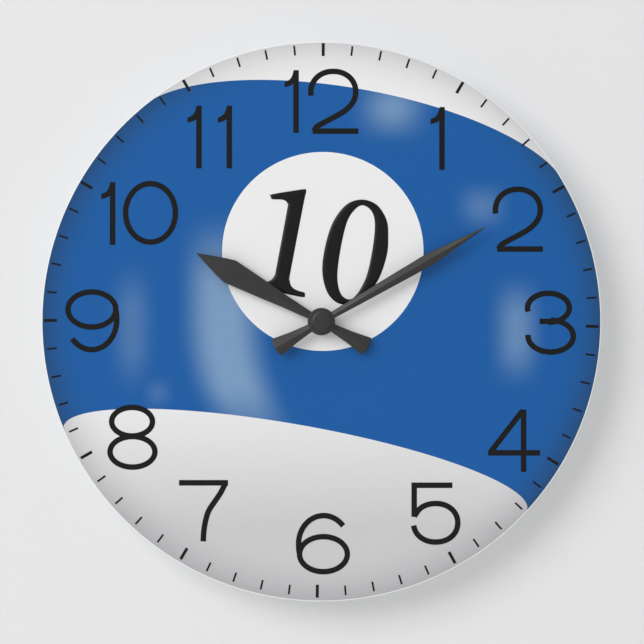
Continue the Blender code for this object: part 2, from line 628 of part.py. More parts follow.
def make_coil():
    """Core strip, bobbin on it, winding on the bobbin, and the stator round the rotor."""
    core_half = 1.2 * MM
    core_back, core_front = (COIL_HEIGHT - 0.4 * MM, COIL_HEIGHT + 0.4 * MM)
    bm = bmesh.new()
    add_box(bm, -16.0 * MM, 16.0 * MM, COIL_UP - core_half, COIL_UP + core_half, core_back, core_front)
    stand(make("coil_core", bm, "steel"))

    bm = bmesh.new()
    tube, flange, end, flange_inside = (2.0 * MM, 3.3 * MM, 11.0 * MM, 10.0 * MM)
    profile = [(0.0, end), (flange, end), (flange, flange_inside), (tube, flange_inside)]
    profile += [(tube, -flange_inside), (flange, -flange_inside), (flange, -end), (0.0, -end)]
    add_turned(bm, profile, 20)
    bobbin = make("coil_bobbin", bm, "gear_plastic")
    slot = bmesh.new()
    across, along = (core_half + FIT, 0.4 * MM + FIT)
    add_box(slot, -across, across, -along, along, -end - MM, end + MM)
    shape(bobbin, "DIFFERENCE", slot)
    lie_along_x(bobbin, 0.0, COIL_UP, COIL_HEIGHT)

    bm = bmesh.new()
    inner, outer, half = (tube + FIT, 3.1 * MM, flange_inside - FIT)
    add_turned(bm, [(inner, -half), (outer, -half), (outer, half), (inner, half)], 20)
    lie_along_x(make("coil_winding", bm, "copper"), 0.0, COIL_UP, COIL_HEIGHT)

    leg_outer, leg_inner, leg_top, yoke = (16.0 * MM, 12.0 * MM, 24.6 * MM, 18.6 * MM)
    outline = [(-leg_outer, leg_top), (-leg_inner, leg_top), (-leg_inner, yoke), (leg_inner, yoke)]
    outline += [(leg_inner, leg_top), (leg_outer, leg_top), (leg_outer, 15.0 * MM)]
    outline += arc(ROTOR_AXIS, 4.2 * MM, 100, 260, 11) + [(-leg_outer, 16.5 * MM)]
    bm = bmesh.new()
    add_slab(bm, outline, *SECONDS_LAYER, [circle(ROTOR_AXIS, 2.7 * MM, 20)])
    stand(make("stator", bm, "steel"))


def make_electronics():
    bm = bmesh.new()
    board_edge = 24.6 * MM
    add_slab(bm, rounded(13.5 * MM, board_edge, -9.8 * MM, 14.0 * MM, 1.0 * MM, 3), *BOARD_LAYER)
    stand(make("circuit_board", bm, "board"))

    seat = BOARD_LAYER[1] + FIT
    bm = bmesh.new()
    profile = [(0.0, seat), (0.0, seat + 1.2 * MM), (1.4 * MM, seat + 1.0 * MM)]
    profile += [(2.4 * MM, seat + 0.5 * MM), (2.8 * MM, seat)]
    add_turned(bm, profile, 16, (18.0 * MM, 5.0 * MM))
    stand(make("chip_cover", bm, "resin"))

    bm = bmesh.new()
    radius, half, edge = (1.0 * MM, 3.2 * MM, 0.2 * MM)
    profile = [(0.0, -half), (radius, -half), (radius, half - edge), (radius - edge, half), (0.0, half)]
    add_turned(bm, profile, 12)
    lie_along_x(make("quartz_crystal", bm, "steel"), 20.0 * MM, -2.0 * MM, seat + MM)


def make_battery():
    half = BATTERY_LENGTH / 2
    body_end = half - 1.4 * MM
    edge = 0.6 * MM
    bm = bmesh.new()
    profile = [(0.0, -half), (BATTERY_RADIUS - edge, -half), (BATTERY_RADIUS, -half + edge)]
    profile += [(BATTERY_RADIUS, body_end - edge), (BATTERY_RADIUS - edge, body_end), (2.8 * MM, body_end)]
    profile += [(2.8 * MM, half - FIT), (2.4 * MM, half), (0.0, half)]
    add_turned(bm, profile, 32)
    lie_along_x(make("battery", bm, "battery_sleeve"), 0.0, BATTERY_UP, BATTERY_HEIGHT)


def make_contacts():
    """Sprung strips at the two ends of the bay, with tails through the divider to the board."""
    end_face = 26.15 * MM
    low, high, tail_top = (-23.5 * MM, -15.0 * MM, -8.9 * MM)
    tail_back, tail_front = (2.4 * MM, 2.4 * MM + CONTACT)
    for name, side, reach in (("positive_contact", 1, 21.0 * MM), ("negative_contact", -1, 16.0 * MM)):
        bm = bmesh.new()
        strip = sorted((side * end_face, side * (end_face - CONTACT)))
        add_box(bm, *strip, low, high, tail_back, 12.0 * MM)
        contact = make(name, bm, "steel")
        tail = bmesh.new()
        add_box(tail, *strip, high - MM, tail_top, tail_back, 4.6 * MM)
        shape(contact, "UNION", tail)
        foot = bmesh.new()
        across = sorted((side * (end_face - CONTACT / 2), reach))
        add_box(foot, *across, tail_top - 1.2 * MM, tail_top - 0.1 * MM, tail_back, tail_front)
        shape(contact, "UNION", foot)
        stand(contact)


def main():
    for old in list(bpy.data.objects):
        bpy.data.objects.remove(old)
    make_dial_disc()
    make_hand("hour_hand", hand_stations(HOUR_HAND_LENGTH, 51.5 * MM, 6.0 * MM, 1.9 * MM),
              HOUR_HUB, HOUR_TUBE + FIT, HOUR_HAND_BACK, HOUR_HAND_ANGLE)
    make_hand("minute_hand", hand_stations(MINUTE_HAND_LENGTH, 61.0 * MM, 3.2 * MM, 1.7 * MM),
              MINUTE_HUB, MINUTE_TUBE + FIT, MINUTE_HAND_BACK, MINUTE_HAND_ANGLE)
    make_cap_nut()
    make_hex_nut()
    make_ring("brass_washer", "brass", 6.0 * MM, WASHER_BACK, WASHER_THICKNESS)
    make_ring("rubber_washer", "rubber", 9.0 * MM, RUBBER_BACK, RUBBER_THICKNESS)
    make_hanger_bracket()
    make_threaded_bushing()
    make_front_case()
    make_back_cover()
    make_middle_plate()
    make_time_train()
    make_motion_work()
    make_coil()
    make_electronics()
    make_battery()
    make_contacts()


main()
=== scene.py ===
import json
from math import acos, atan2, cos, degrees, hypot, pi, radians, sin, sqrt

import bmesh
import bpy
from mathutils import Matrix, Vector
from mathutils.geometry import delaunay_2d_cdt


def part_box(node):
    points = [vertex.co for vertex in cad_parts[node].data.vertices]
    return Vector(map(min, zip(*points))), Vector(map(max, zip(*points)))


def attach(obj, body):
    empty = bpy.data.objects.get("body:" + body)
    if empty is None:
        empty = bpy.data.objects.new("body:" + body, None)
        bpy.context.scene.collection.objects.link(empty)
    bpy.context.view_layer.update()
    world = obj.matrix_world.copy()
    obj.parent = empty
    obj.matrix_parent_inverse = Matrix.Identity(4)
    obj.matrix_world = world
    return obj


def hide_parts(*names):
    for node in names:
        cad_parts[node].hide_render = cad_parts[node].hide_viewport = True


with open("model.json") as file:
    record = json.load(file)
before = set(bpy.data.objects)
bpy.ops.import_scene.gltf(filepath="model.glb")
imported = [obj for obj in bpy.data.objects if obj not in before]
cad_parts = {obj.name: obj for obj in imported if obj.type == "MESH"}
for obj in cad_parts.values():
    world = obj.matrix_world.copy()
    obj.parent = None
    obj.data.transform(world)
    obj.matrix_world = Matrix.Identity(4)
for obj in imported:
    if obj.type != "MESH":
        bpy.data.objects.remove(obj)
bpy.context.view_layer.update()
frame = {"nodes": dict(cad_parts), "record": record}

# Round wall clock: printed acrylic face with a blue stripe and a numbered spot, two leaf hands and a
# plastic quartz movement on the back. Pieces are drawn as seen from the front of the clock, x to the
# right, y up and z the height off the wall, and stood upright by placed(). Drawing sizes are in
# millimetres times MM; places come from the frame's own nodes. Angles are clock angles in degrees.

MM = 0.001


# ---- measures from the frame

def heights(node):
    """Back and front height of a frame node off the wall."""
    low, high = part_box(node)
    return -high.y, -low.y


def half_width(node):
    low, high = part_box(node)
    return (high.x - low.x) / 2


def reach(node):
    """Clock angle and length of a hand, from its farthest point."""
    tip = max((v.co for v in frame["nodes"][node].data.vertices), key=lambda p: hypot(p.x, p.z))
    return degrees(atan2(tip.x, tip.z)), hypot(tip.x, tip.z)


def middle(node):
    """Centre of a node in the drawing: right, up, height."""
    low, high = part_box(node)
    centre = (low + high) / 2
    return Vector((centre.x, centre.z, -centre.y))


DISC_RADIUS = half_width("dial_disc")
DISC_BACK, FACE = heights("dial_disc")
PRINT_RADIUS = DISC_RADIUS - 0.5 * MM    # the print stops short of the polished edge
HOLE_RADIUS = 4.3 * MM

# Each ink lies a little higher than the one under it, and starts SUNK below that one's top
WHITE_TOP = FACE + 0.02 * MM
STRIPE_TOP = FACE + 0.04 * MM
SPOT_TOP = FACE + 0.06 * MM
INK_TOP = FACE + 0.09 * MM
SUNK = 0.01 * MM


# ---- drawing tools

def heading(angle, length=1.0):
    """The point at a clock angle and a distance from the origin."""
    return Vector((sin(radians(angle)) * length, cos(radians(angle)) * length))


def arc(centre, across, up, start, end, count=25, fullness=2.0):
    """Points of an oval between two clock angles, ends included; a fullness above 2 is squarer."""
    points = []
    for i in range(count):
        turn = radians(start + (end - start) * i / (count - 1))
        swell = (abs(sin(turn)) ** fullness + abs(cos(turn)) ** fullness) ** (-1 / fullness)
        points.append(Vector((centre[0] + across * swell * sin(turn), centre[1] + up * swell * cos(turn))))
    return points


def ring(centre, across, up, count=96):
    return arc(centre, across, up, 0, 360, count + 1)[:-1]


def rounded(left, right, low, high, corner, count=6):
    """A rectangle with round corners."""
    points = arc((right - corner, high - corner), corner, corner, 0, 90, count)
    points += arc((right - corner, low + corner), corner, corner, 90, 180, count)
    points += arc((left + corner, low + corner), corner, corner, 180, 270, count)
    points += arc((left + corner, high - corner), corner, corner, 270, 360, count)
    return points


def flowing(points, closed=False, steps=8):
    """A smooth curve through the points."""
    points = [Vector(p) for p in points]
    count = len(points)
    spans = count if closed else count - 1
    curve = []
    for i in range(spans):
        if closed:
            before, start, end, after = (points[(i + k) % count] for k in (-1, 0, 1, 2))
        else:
            before, start = points[max(i - 1, 0)], points[i]
            end, after = points[i + 1], points[min(i + 2, count - 1)]
        for step in range(steps):
            t = step / steps
            drift = (end - before) * t + (2 * before - 5 * start + 4 * end - after) * t ** 2
            drift += (3 * start - before - 3 * end + after) * t ** 3
            curve.append(start + drift / 2)
    return curve if closed else curve + [points[-1]]


def stroke(path, width):
    """The outline of a pen stroke with flat ends along a path."""
    path = [Vector(p) for p in path]
    left, right = [], []
    for i, point in enumerate(path):
        into = (point - path[i - 1]).normalized() if i else (path[1] - point).normalized()
        out = (path[i + 1] - point).normalized() if i < len(path) - 1 else into
        along = (into + out).normalized()
        side = Vector((-along.y, along.x))
        side *= width / 2 / max(0.5, along.dot(out))
        left.append(point + side)
        right.append(point - side)
    return left + right[::-1]


def scaled(points, scale=MM, shift=(0.0, 0.0)):
    return [Vector((p[0] * scale + shift[0], p[1] * scale + shift[1])) for p in points]


# ---- mesh tools

def of_kind(geometry, kind):
    return [item for item in geometry if isinstance(item, kind)]


def add_slab(bm, outline, back, front, holes=()):
    """A flat piece of the outline's shape."""
    known = len(bm.faces)
    edges = []
    for loop in [outline, *holes]:
        verts = [bm.verts.new((point[0], point[1], back)) for point in loop]
        edges += [bm.edges.new((verts[i - 1], verts[i])) for i in range(len(verts))]
    filled = bmesh.ops.triangle_fill(bm, edges=edges, use_beauty=True, normal=(0, 0, 1))["geom"]
    faces = of_kind(filled, bmesh.types.BMFace)
    grown = bmesh.ops.extrude_face_region(bm, geom=faces, use_keep_orig=True)["geom"]
    bmesh.ops.translate(bm, verts=of_kind(grown, bmesh.types.BMVert), vec=(0, 0, front - back))
    made = list(bm.faces)[known:]
    bmesh.ops.recalc_face_normals(bm, faces=made)
    top = next(face for face in of_kind(grown, bmesh.types.BMFace) if abs(face.normal.z) > 0.5)
    if top.normal.z < 0.0:
        bmesh.ops.reverse_faces(bm, faces=made)


def slab(outline, back, front, holes=()):
    bm = bmesh.new()
    add_slab(bm, outline, back, front, holes)
    return bm


def cushion(outline, back, front, soft, holes=()):
    """A slab whose face rises in a round curve from its outline to its full height, over a soft width."""
    gap = 0.4 * MM          # between the points that fill it
    clear = 0.6 * gap       # of the outline
    foot = 0.2              # share of the height at which the curve starts
    border = [Vector(point) for loop in (outline, *holes) for point in loop]
    edges, start = [], 0
    for loop in (outline, *holes):
        edges += [(start + i, start + (i + 1) % len(loop)) for i in range(len(loop))]
        start += len(loop)
    segments = [(border[i], border[k]) for i, k in edges]

    def within(point):
        crossings = 0
        for a, b in segments:
            if (a.y > point.y) != (b.y > point.y):
                crossings += point.x < a.x + (b.x - a.x) * (point.y - a.y) / (b.y - a.y)
        return crossings % 2 == 1

    def from_edge(point):
        nearest = 1.0
        for first, last in segments:
            along = last - first
            share = min(1.0, max(0.0, (point - first).dot(along) / along.length_squared))
            nearest = min(nearest, (point - first - along * share).length)
        return nearest

    left, right = min(p.x for p in border), max(p.x for p in border)
    low, high = min(p.y for p in border), max(p.y for p in border)
    inside = []
    for row in range(int((high - low) / gap) + 1):
        for column in range(int((right - left) / gap) + 2):
            point = Vector((left + (column - 0.5 * (row % 2)) * gap, low + row * gap))
            if within(point) and from_edge(point) > clear:
                inside.append(point)
    points, _, triangles, *_ = delaunay_2d_cdt(border + inside, edges, [], 1, 1e-7)
    bm = bmesh.new()
    verts = []
    for point in points:
        share = min(1.0, from_edge(point) / soft)
        rise = foot + (1 - foot) * sqrt(1 - (1 - share) ** 2)
        verts.append(bm.verts.new((point.x, point.y, back + (front - back) * rise)))
    for triangle in triangles:
        if within(sum((points[i] for i in triangle), Vector((0.0, 0.0))) / 3):
            bm.faces.new([verts[i] for i in triangle])
    rim = [edge for edge in bm.edges if len(edge.link_faces) == 1]
    wall = bmesh.ops.extrude_edge_only(bm, edges=rim)["geom"]
    for vert in of_kind(wall, bmesh.types.BMVert):
        vert.co.z = back
    open_edges = [edge for edge in of_kind(wall, bmesh.types.BMEdge) if len(edge.link_faces) == 1]
    bmesh.ops.holes_fill(bm, edges=open_edges)
    bmesh.ops.recalc_face_normals(bm, faces=bm.faces)
    return bm


def turned(profile, count):
    """A closed profile of (radius, height) turned about the height axis."""
    bm = bmesh.new()
    rings = []
    for radius, height in profile:
        points = ring((0.0, 0.0), radius, radius, count) if radius else [Vector((0.0, 0.0))]
        rings.append([bm.verts.new((point.x, point.y, height)) for point in points])
    for i, upper in enumerate(rings):
        lower = rings[i - 1]
        if len(lower) == 1 and len(upper) == 1:
            continue
        for k in range(count):
            corners = [lower[k % len(lower)], lower[(k + 1) % len(lower)]]
            corners += [upper[(k + 1) % len(upper)], upper[k % len(upper)]]
            bm.faces.new(dict.fromkeys(corners))
    bmesh.ops.recalc_face_normals(bm, faces=bm.faces)
    return bm


def round_corner(radius, height, size, start, end, count=5):
    """Profile points of a rounded edge, centred on (radius, height)."""
    turns = [radians(start + (end - start) * i / (count - 1)) for i in range(count)]
    return [(radius + size * sin(t), height + size * cos(t)) for t in turns]


def in_scene(name, data):
    """A new object of the scene, made of a mesh, a lamp or a camera."""
    thing = bpy.data.objects.new(name, data)
    bpy.context.scene.collection.objects.link(thing)
    return thing


def joined(first, others, operation="UNION"):
    """Joins meshes to the first one, or takes them away, and returns the resulting bmesh."""
    things = []
    for bm in (first, *others):
        things.append(in_scene("work", bpy.data.meshes.new("work")))
        bm.to_mesh(things[-1].data)
        bm.free()
    base, *tools = things
    for tool in tools:
        change = base.modifiers.new("join", "BOOLEAN")
        change.operation = operation
        change.solver = "EXACT"
        change.object = tool
    result = bmesh.new()
    result.from_object(base, bpy.context.evaluated_depsgraph_get())
    bmesh.ops.dissolve_degenerate(result, dist=1e-7, edges=result.edges)
    for thing in things:
        mesh = thing.data
        bpy.data.objects.remove(thing)
        bpy.data.meshes.remove(mesh)
    return result


CLEAR = 0.01 * MM       # keeps a cutting shape's faces off the faces it cuts


def drawn(node, axis=(0.0, 0.0)):
    """A frame node's shape as a drawing round an axis, without its own shading."""
    source = frame["nodes"][node].data
    bm = bmesh.new()
    verts = [bm.verts.new(vert.co) for vert in source.vertices]
    for face in source.polygons:
        bm.faces.new([verts[i] for i in face.vertices])
    bmesh.ops.remove_doubles(bm, verts=bm.verts, dist=1e-7)
    bm.transform(Matrix.Translation((-axis[0], -axis[1], 0.0)) @ Matrix.Rotation(-pi / 2, 4, "X"))
    return bm


def skinned(sections):
    """A solid through closed sections of (x, y, z), which have as many points each."""
    bm = bmesh.new()
    rings = [[bm.verts.new(point) for point in section] for section in sections]
    for lower, upper in zip(rings, rings[1:]):
        for i in range(len(lower)):
            bm.faces.new((lower[i - 1], lower[i], upper[i], upper[i - 1]))
    bm.faces.new(rings[0])
    bm.faces.new(rings[-1])
    bmesh.ops.recalc_face_normals(bm, faces=bm.faces)
    return bm


def block(outline_of, back, front, back_soft, front_soft):
    """A block with rounded back and front edges; outline_of(inset) draws its outline."""
    turns = [radians(90.0 * i / 4) for i in range(5)]
    levels = [(back_soft * (1 - sin(turn)), back + back_soft * (1 - cos(turn))) for turn in turns]
    levels += [(front_soft * (1 - cos(turn)), front - front_soft * (1 - sin(turn))) for turn in turns]
    return skinned([[(p[0], p[1], height) for p in outline_of(inset)] for inset, height in levels])


def placed(name, bm, material, body, replaces=(), axis=(0.0, 0.0), turn=0.0, smooth=32.0, lying=None):
    """Turns a drawing into a named piece that rides on a body: upright, or lying along x at (up, height)."""
    mesh = bpy.data.meshes.new(name)
    bm.to_mesh(mesh)
    bm.free()
    mesh.materials.append(material)
    mesh.shade_smooth()
    mesh.set_sharp_from_angle(angle=radians(smooth))
    piece = in_scene(name, mesh)
    piece.location = (0.0, -lying[1], lying[0]) if lying else (axis[0], 0.0, axis[1])
    piece.rotation_euler = (0.0, pi / 2, 0.0) if lying else (pi / 2, radians(turn), 0.0)
    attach(piece, body)
    if replaces:
        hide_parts(*replaces)
    return piece


# ---- node tools

def node(tree, kind, inputs=None, **settings):
    """A new node with its settings, and its inputs set or linked."""
    made = tree.nodes.new(kind)
    made.location = (220.0 * (len(tree.nodes) % 8), -260.0 * (len(tree.nodes) // 8))
    for key, value in settings.items():
        setattr(made, key, value)
    for key, value in (inputs or {}).items():
        if isinstance(value, bpy.types.NodeSocket):
            tree.links.new(value, made.inputs[key])
        else:
            made.inputs[key].default_value = value
    return made


def maths(tree, operation, first, second=0.0, third=0.0, clamp=False):
    made = node(tree, "ShaderNodeMath", {0: first, 1: second, 2: third}, operation=operation)
    made.use_clamp = clamp
    return made.outputs[0]


def mixed(tree, factor, first, second, blend="MIX"):
    """Mixes two colours by a factor and returns the colour."""
    made = node(tree, "ShaderNodeMix", data_type="RGBA", blend_type=blend)
    for index, value in ((0, factor), (6, first), (7, second)):
        if isinstance(value, bpy.types.NodeSocket):
            tree.links.new(value, made.inputs[index])
        else:
            made.inputs[index].default_value = value
    return made.outputs[2]


def eased(tree, value, low, high, out_low=0.0, out_high=1.0, kind="SMOOTHSTEP"):
    """Maps a value from one range to another, clamped at both ends."""
    inputs = {"Value": value, "From Min": low, "From Max": high, "To Min": out_low, "To Max": out_high}
    return node(tree, "ShaderNodeMapRange", inputs, interpolation_type=kind).outputs["Result"]


def noise(tree, place, scale, detail, roughness=0.5):
    inputs = {"Vector": place, "Scale": scale, "Detail": detail, "Roughness": roughness}
    return node(tree, "ShaderNodeTexNoise", inputs).outputs[0]


def from_centre(tree, place):
    """How far a place is from the height axis of its drawing."""
    right, up, _ = node(tree, "ShaderNodeSeparateXYZ", {0: place}).outputs
    flat = node(tree, "ShaderNodeCombineXYZ", {0: right, 1: up}).outputs[0]
    return node(tree, "ShaderNodeVectorMath", {0: flat}, operation="LENGTH").outputs["Value"]


def new_group(name, inputs, outputs):
    """An empty node group with named sockets: {name: (type, default)} in, {name: type} out."""
    tree = bpy.data.node_groups.new(name, "ShaderNodeTree")
    for key, (kind, default) in inputs.items():
        socket = tree.interface.new_socket(key, in_out="INPUT", socket_type="NodeSocket" + kind)
        if default is not None:
            socket.default_value = default
    for key, kind in outputs.items():
        tree.interface.new_socket(key, in_out="OUTPUT", socket_type="NodeSocket" + kind)
    return tree, tree.nodes.new("NodeGroupInput").outputs, tree.nodes.new("NodeGroupOutput").inputs


def use(tree, group, inputs):
    """Places a group in a material and returns its outputs."""
    return node(tree, "ShaderNodeGroup", inputs, node_tree=group).outputs


def rim_group():
    """How far a place has come from one radius to another round the drawing's centre."""
    tree, given, out = new_group("Rim shade", {
        "Place": ("Vector", None), "Start": ("Float", 0.1), "End": ("Float", 0.13), "Power": ("Float", 1.0),
    }, {"Mask": "Float"})
    share = eased(tree, from_centre(tree, given["Place"]), given["Start"], given["End"], kind="LINEAR")
    tree.links.new(maths(tree, "POWER", share, given["Power"]), out["Mask"])
    return tree


def glow_group():
    """A soft patch of light: full in its core, nothing past its half size; its foot can bend to the right."""
    tree, given, out = new_group("Soft glow", {
        "Place": ("Vector", None), "Middle": ("Vector", (0.0, 0.0, 0.0)),
        "Size": ("Vector", (0.01, 0.01, 1.0)), "Core": ("Vector", (0.1, 0.1, 0.0)),
        "Bend": ("Float", 0.0), "Strength": ("Float", 1.0),
    }, {"Mask": "Float"})
    bend_from = 0.1         # of the half height over the middle, and downwards from there
    step = node(tree, "ShaderNodeVectorMath", {0: given["Place"], 1: given["Middle"]}, operation="SUBTRACT")
    sized = node(tree, "ShaderNodeVectorMath", {0: step.outputs[0], 1: given["Size"]}, operation="DIVIDE")
    right, up, _ = node(tree, "ShaderNodeSeparateXYZ", {0: sized.outputs[0]}).outputs
    below = maths(tree, "MAXIMUM", maths(tree, "SUBTRACT", bend_from, up), 0.0)
    shift = maths(tree, "MULTIPLY", maths(tree, "MULTIPLY", below, below), given["Bend"])
    across = maths(tree, "ABSOLUTE", maths(tree, "SUBTRACT", right, shift))
    along = maths(tree, "ABSOLUTE", up)
    core_across, core_along, _ = node(tree, "ShaderNodeSeparateXYZ", {0: given["Core"]}).outputs
    mask = maths(tree, "MULTIPLY", eased(tree, across, 1.0, core_across), eased(tree, along, 1.0, core_along))
    tree.links.new(maths(tree, "MULTIPLY", mask, given["Strength"]), out["Mask"])
    return tree


def grain_group():
    """Fine mottling: a value round 1 that shifts a colour, and a height for a bump."""
    tree, given, out = new_group("Fine grain", {
        "Place": ("Vector", None), "Scale": ("Float", 900.0), "Amount": ("Float", 0.03),
    }, {"Value": "Float", "Height": "Float"})
    mottle = noise(tree, given["Place"], given["Scale"], 3.0, 0.55)
    swing = maths(tree, "MULTIPLY_ADD", maths(tree, "SUBTRACT", mottle, 0.5), given["Amount"], 1.0)
    tree.links.new(swing, out["Value"])
    tree.links.new(mottle, out["Height"])
    return tree


def wear_group():
    """Handling marks: broad smudges and thin scratches, as a mask from 0 to 1."""
    tree, given, out = new_group("Handling wear", {
        "Place": ("Vector", None), "Scale": ("Float", 60.0), "Amount": ("Float", 0.5),
    }, {"Mask": "Float"})
    smudges = eased(tree, noise(tree, given["Place"], given["Scale"], 4.0, 0.6), 0.42, 0.7)
    lengthwise = (1.0, 14.0, 5.0)
    stretched = node(tree, "ShaderNodeVectorMath", {0: given["Place"], 1: lengthwise}, operation="MULTIPLY")
    scratches = eased(tree, noise(tree, stretched.outputs[0], given["Scale"], 2.0, 0.4), 0.58, 0.68)
    both = maths(tree, "MULTIPLY_ADD", scratches, 0.4, smudges)
    tree.links.new(maths(tree, "MULTIPLY", both, given["Amount"], clamp=True), out["Mask"])
    return tree


def lathe_group():
    """Fine rings left by turning, round the drawing's centre, as a height."""
    tree, given, out = new_group("Lathe rings", {
        "Place": ("Vector", None), "Spacing": ("Float", 0.0002),
    }, {"Height": "Float"})
    turns = maths(tree, "DIVIDE", from_centre(tree, given["Place"]), given["Spacing"])
    wave = maths(tree, "SINE", maths(tree, "MULTIPLY", turns, 2 * pi))
    wobble = noise(tree, given["Place"], 700.0, 2.0)
    tree.links.new(maths(tree, "MULTIPLY_ADD", wave, 0.25, wobble), out["Height"])
    return tree


RIM, GLOW, GRAIN, WEAR, LATHE = rim_group(), glow_group(), grain_group(), wear_group(), lathe_group()


def new_material(name, roughness, metallic=0.0, **shader_values):
    """A material with its place in the piece's own drawing, and the values that are the same all over."""
    material = bpy.data.materials.new(name)
    material.use_nodes = True
    tree = material.node_tree
    shader = tree.nodes["Principled BSDF"]
    shader.inputs["Roughness"].default_value = roughness
    shader.inputs["Metallic"].default_value = metallic
    for key, value in shader_values.items():
        shader.inputs[key.replace("_", " ")].default_value = value
    place = tree.nodes.new("ShaderNodeTexCoord").outputs["Object"]
    return material, tree, shader, place


def tinted(tree, shader, place, colour, scale, amount):
    """A colour with fine mottling as the base colour; returns the grain's height."""
    grain = use(tree, GRAIN, {"Place": place, "Scale": scale, "Amount": amount})
    start = colour if isinstance(colour, bpy.types.NodeSocket) else colour[:3]
    shade = node(tree, "ShaderNodeVectorMath", {0: start, "Scale": grain["Value"]}, operation="SCALE")
    tree.links.new(shade.outputs[0], shader.inputs["Base Color"])
    return grain["Height"]


def bumped(tree, shader, height, distance, strength=1.0):
    bump = node(tree, "ShaderNodeBump", {"Height": height, "Distance": distance, "Strength": strength})
    tree.links.new(bump.outputs[0], shader.inputs["Normal"])


def worn_roughness(tree, shader, place, scale, amount, low, high):
    """Roughness that varies between two values with handling."""
    mask = use(tree, WEAR, {"Place": place, "Scale": scale, "Amount": amount})["Mask"]
    tree.links.new(eased(tree, mask, 0.0, 1.0, low, high, "LINEAR"), shader.inputs["Roughness"])


# ---- finishes

def rgb(red, green, blue):
    """A display colour from 0 to 255 as linear light."""
    light = []
    for value in (red / 255, green / 255, blue / 255):
        light.append(value / 12.92 if value < 0.0404 else ((value + 0.055) / 1.055) ** 2.4)
    return (*light, 1.0)


INK_SHINE = {"Specular_IOR_Level": 0.22}


def rim_shade(tree, place, start):
    """A mask that grows from a radius to the edge of the print."""
    inputs = {"Place": place, "Start": start, "End": PRINT_RADIUS, "Power": 2.0}
    return use(tree, RIM, inputs)["Mask"]


def white_ink(name, pale_above, grey_below, grey, rim_share):
    """White print that greys evenly between two heights on the face, and darkens towards the rim."""
    material, tree, shader, place = new_material(name, 0.32, **INK_SHINE)
    up = node(tree, "ShaderNodeSeparateXYZ", {0: place}).outputs[1]
    foot = eased(tree, up, pale_above, grey_below, kind="LINEAR")
    colour = mixed(tree, foot, rgb(233, 233, 234), grey)
    rim = maths(tree, "MULTIPLY", rim_shade(tree, place, 113.0 * MM), rim_share)
    colour = mixed(tree, rim, colour, rgb(221, 221, 222), "MULTIPLY")
    tinted(tree, shader, place, colour, 260.0, 0.012)
    return material


GLOWS = [   # (right, up), (half width, half height), bend, core of each, strength
    ((-47.7, -5.5), (25.5, 65.0), 0.91, (0.15, 0.34), 1.0),
    ((34.5, 104.2), (24.1, 21.0), 0.0, (0.0, 0.0), 0.87),
    ((78.2, 56.0), (18.0, 16.0), 0.0, (0.0, 0.0), 0.51),
    ((95.2, -4.6), (16.6, 32.5), 0.0, (0.0, 0.15), 0.72),
    ((-92.3, -3.0), (15.0, 39.0), 0.0, (0.0, 0.15), 0.45),
    ((-79.8, -34.8), (11.0, 11.0), 0.0, (0.0, 0.0), 0.34),
]


def stripe_ink():
    """Blue print with soft pale glows, darker at the rim."""
    material, tree, shader, place = new_material("stripe_ink", 0.3, **INK_SHINE)
    colour = mixed(tree, rim_shade(tree, place, 117.0 * MM), rgb(18, 89, 159), rgb(30, 72, 118))
    total = None
    for centre, size, bend, core, strength in GLOWS:
        mask = use(tree, GLOW, {
            "Place": place, "Middle": (centre[0] * MM, centre[1] * MM, 0.0), "Bend": bend,
            "Size": (size[0] * MM, size[1] * MM, 1.0), "Core": (*core, 0.0), "Strength": strength,
        })["Mask"]
        total = mask if total is None else maths(tree, "MAXIMUM", total, mask)
    colour = mixed(tree, maths(tree, "POWER", total, 1.35), colour, rgb(119, 153, 189))
    tinted(tree, shader, place, colour, 260.0, 0.03)
    return material


def black_ink():
    material, tree, shader, place = new_material("black_ink", 0.3, **INK_SHINE)
    tinted(tree, shader, place, rgb(13, 13, 13), 500.0, 0.2)
    return material


def raised_black():
    """Soft-edged black of the two large figures in the spot."""
    material, tree, shader, place = new_material("raised_black", 0.3, Specular_IOR_Level=0.25)
    tinted(tree, shader, place, rgb(9, 9, 9), 400.0, 0.2)
    return material


def clear_acrylic():
    """Milky clear sheet with a polished edge."""
    material, tree, shader, place = new_material("clear_acrylic", 0.08, IOR=1.49)
    height = tinted(tree, shader, place, rgb(233, 236, 237), 120.0, 0.02)
    worn_roughness(tree, shader, place, 25.0, 1.0, 0.05, 0.16)
    bumped(tree, shader, height, 0.00002)
    return material


def hand_enamel():
    """Dark grey satin enamel with a faint orange peel."""
    material, tree, shader, place = new_material("hand_enamel", 0.36, Specular_IOR_Level=0.62)
    height = tinted(tree, shader, place, rgb(24, 24, 23), 1500.0, 0.12)
    worn_roughness(tree, shader, place, 120.0, 0.8, 0.32, 0.44)
    bumped(tree, shader, height, 0.000012)
    return material


def turned_brass():
    material, tree, shader, place = new_material("turned_brass", 0.28, 1.0)
    tinted(tree, shader, place, rgb(214, 180, 116), 300.0, 0.15)
    worn_roughness(tree, shader, place, 200.0, 1.0, 0.2, 0.42)
    bumped(tree, shader, use(tree, LATHE, {"Place": place, "Spacing": 0.25 * MM})["Height"], 0.00001)
    return material


def zinc_steel():
    """Bright zinc-plated sheet with a faint cloudy spangle."""
    material, tree, shader, place = new_material("zinc_steel", 0.32, 1.0)
    height = tinted(tree, shader, place, rgb(190, 193, 197), 350.0, 0.25)
    worn_roughness(tree, shader, place, 90.0, 1.0, 0.24, 0.46)
    bumped(tree, shader, height, 0.000008)
    return material


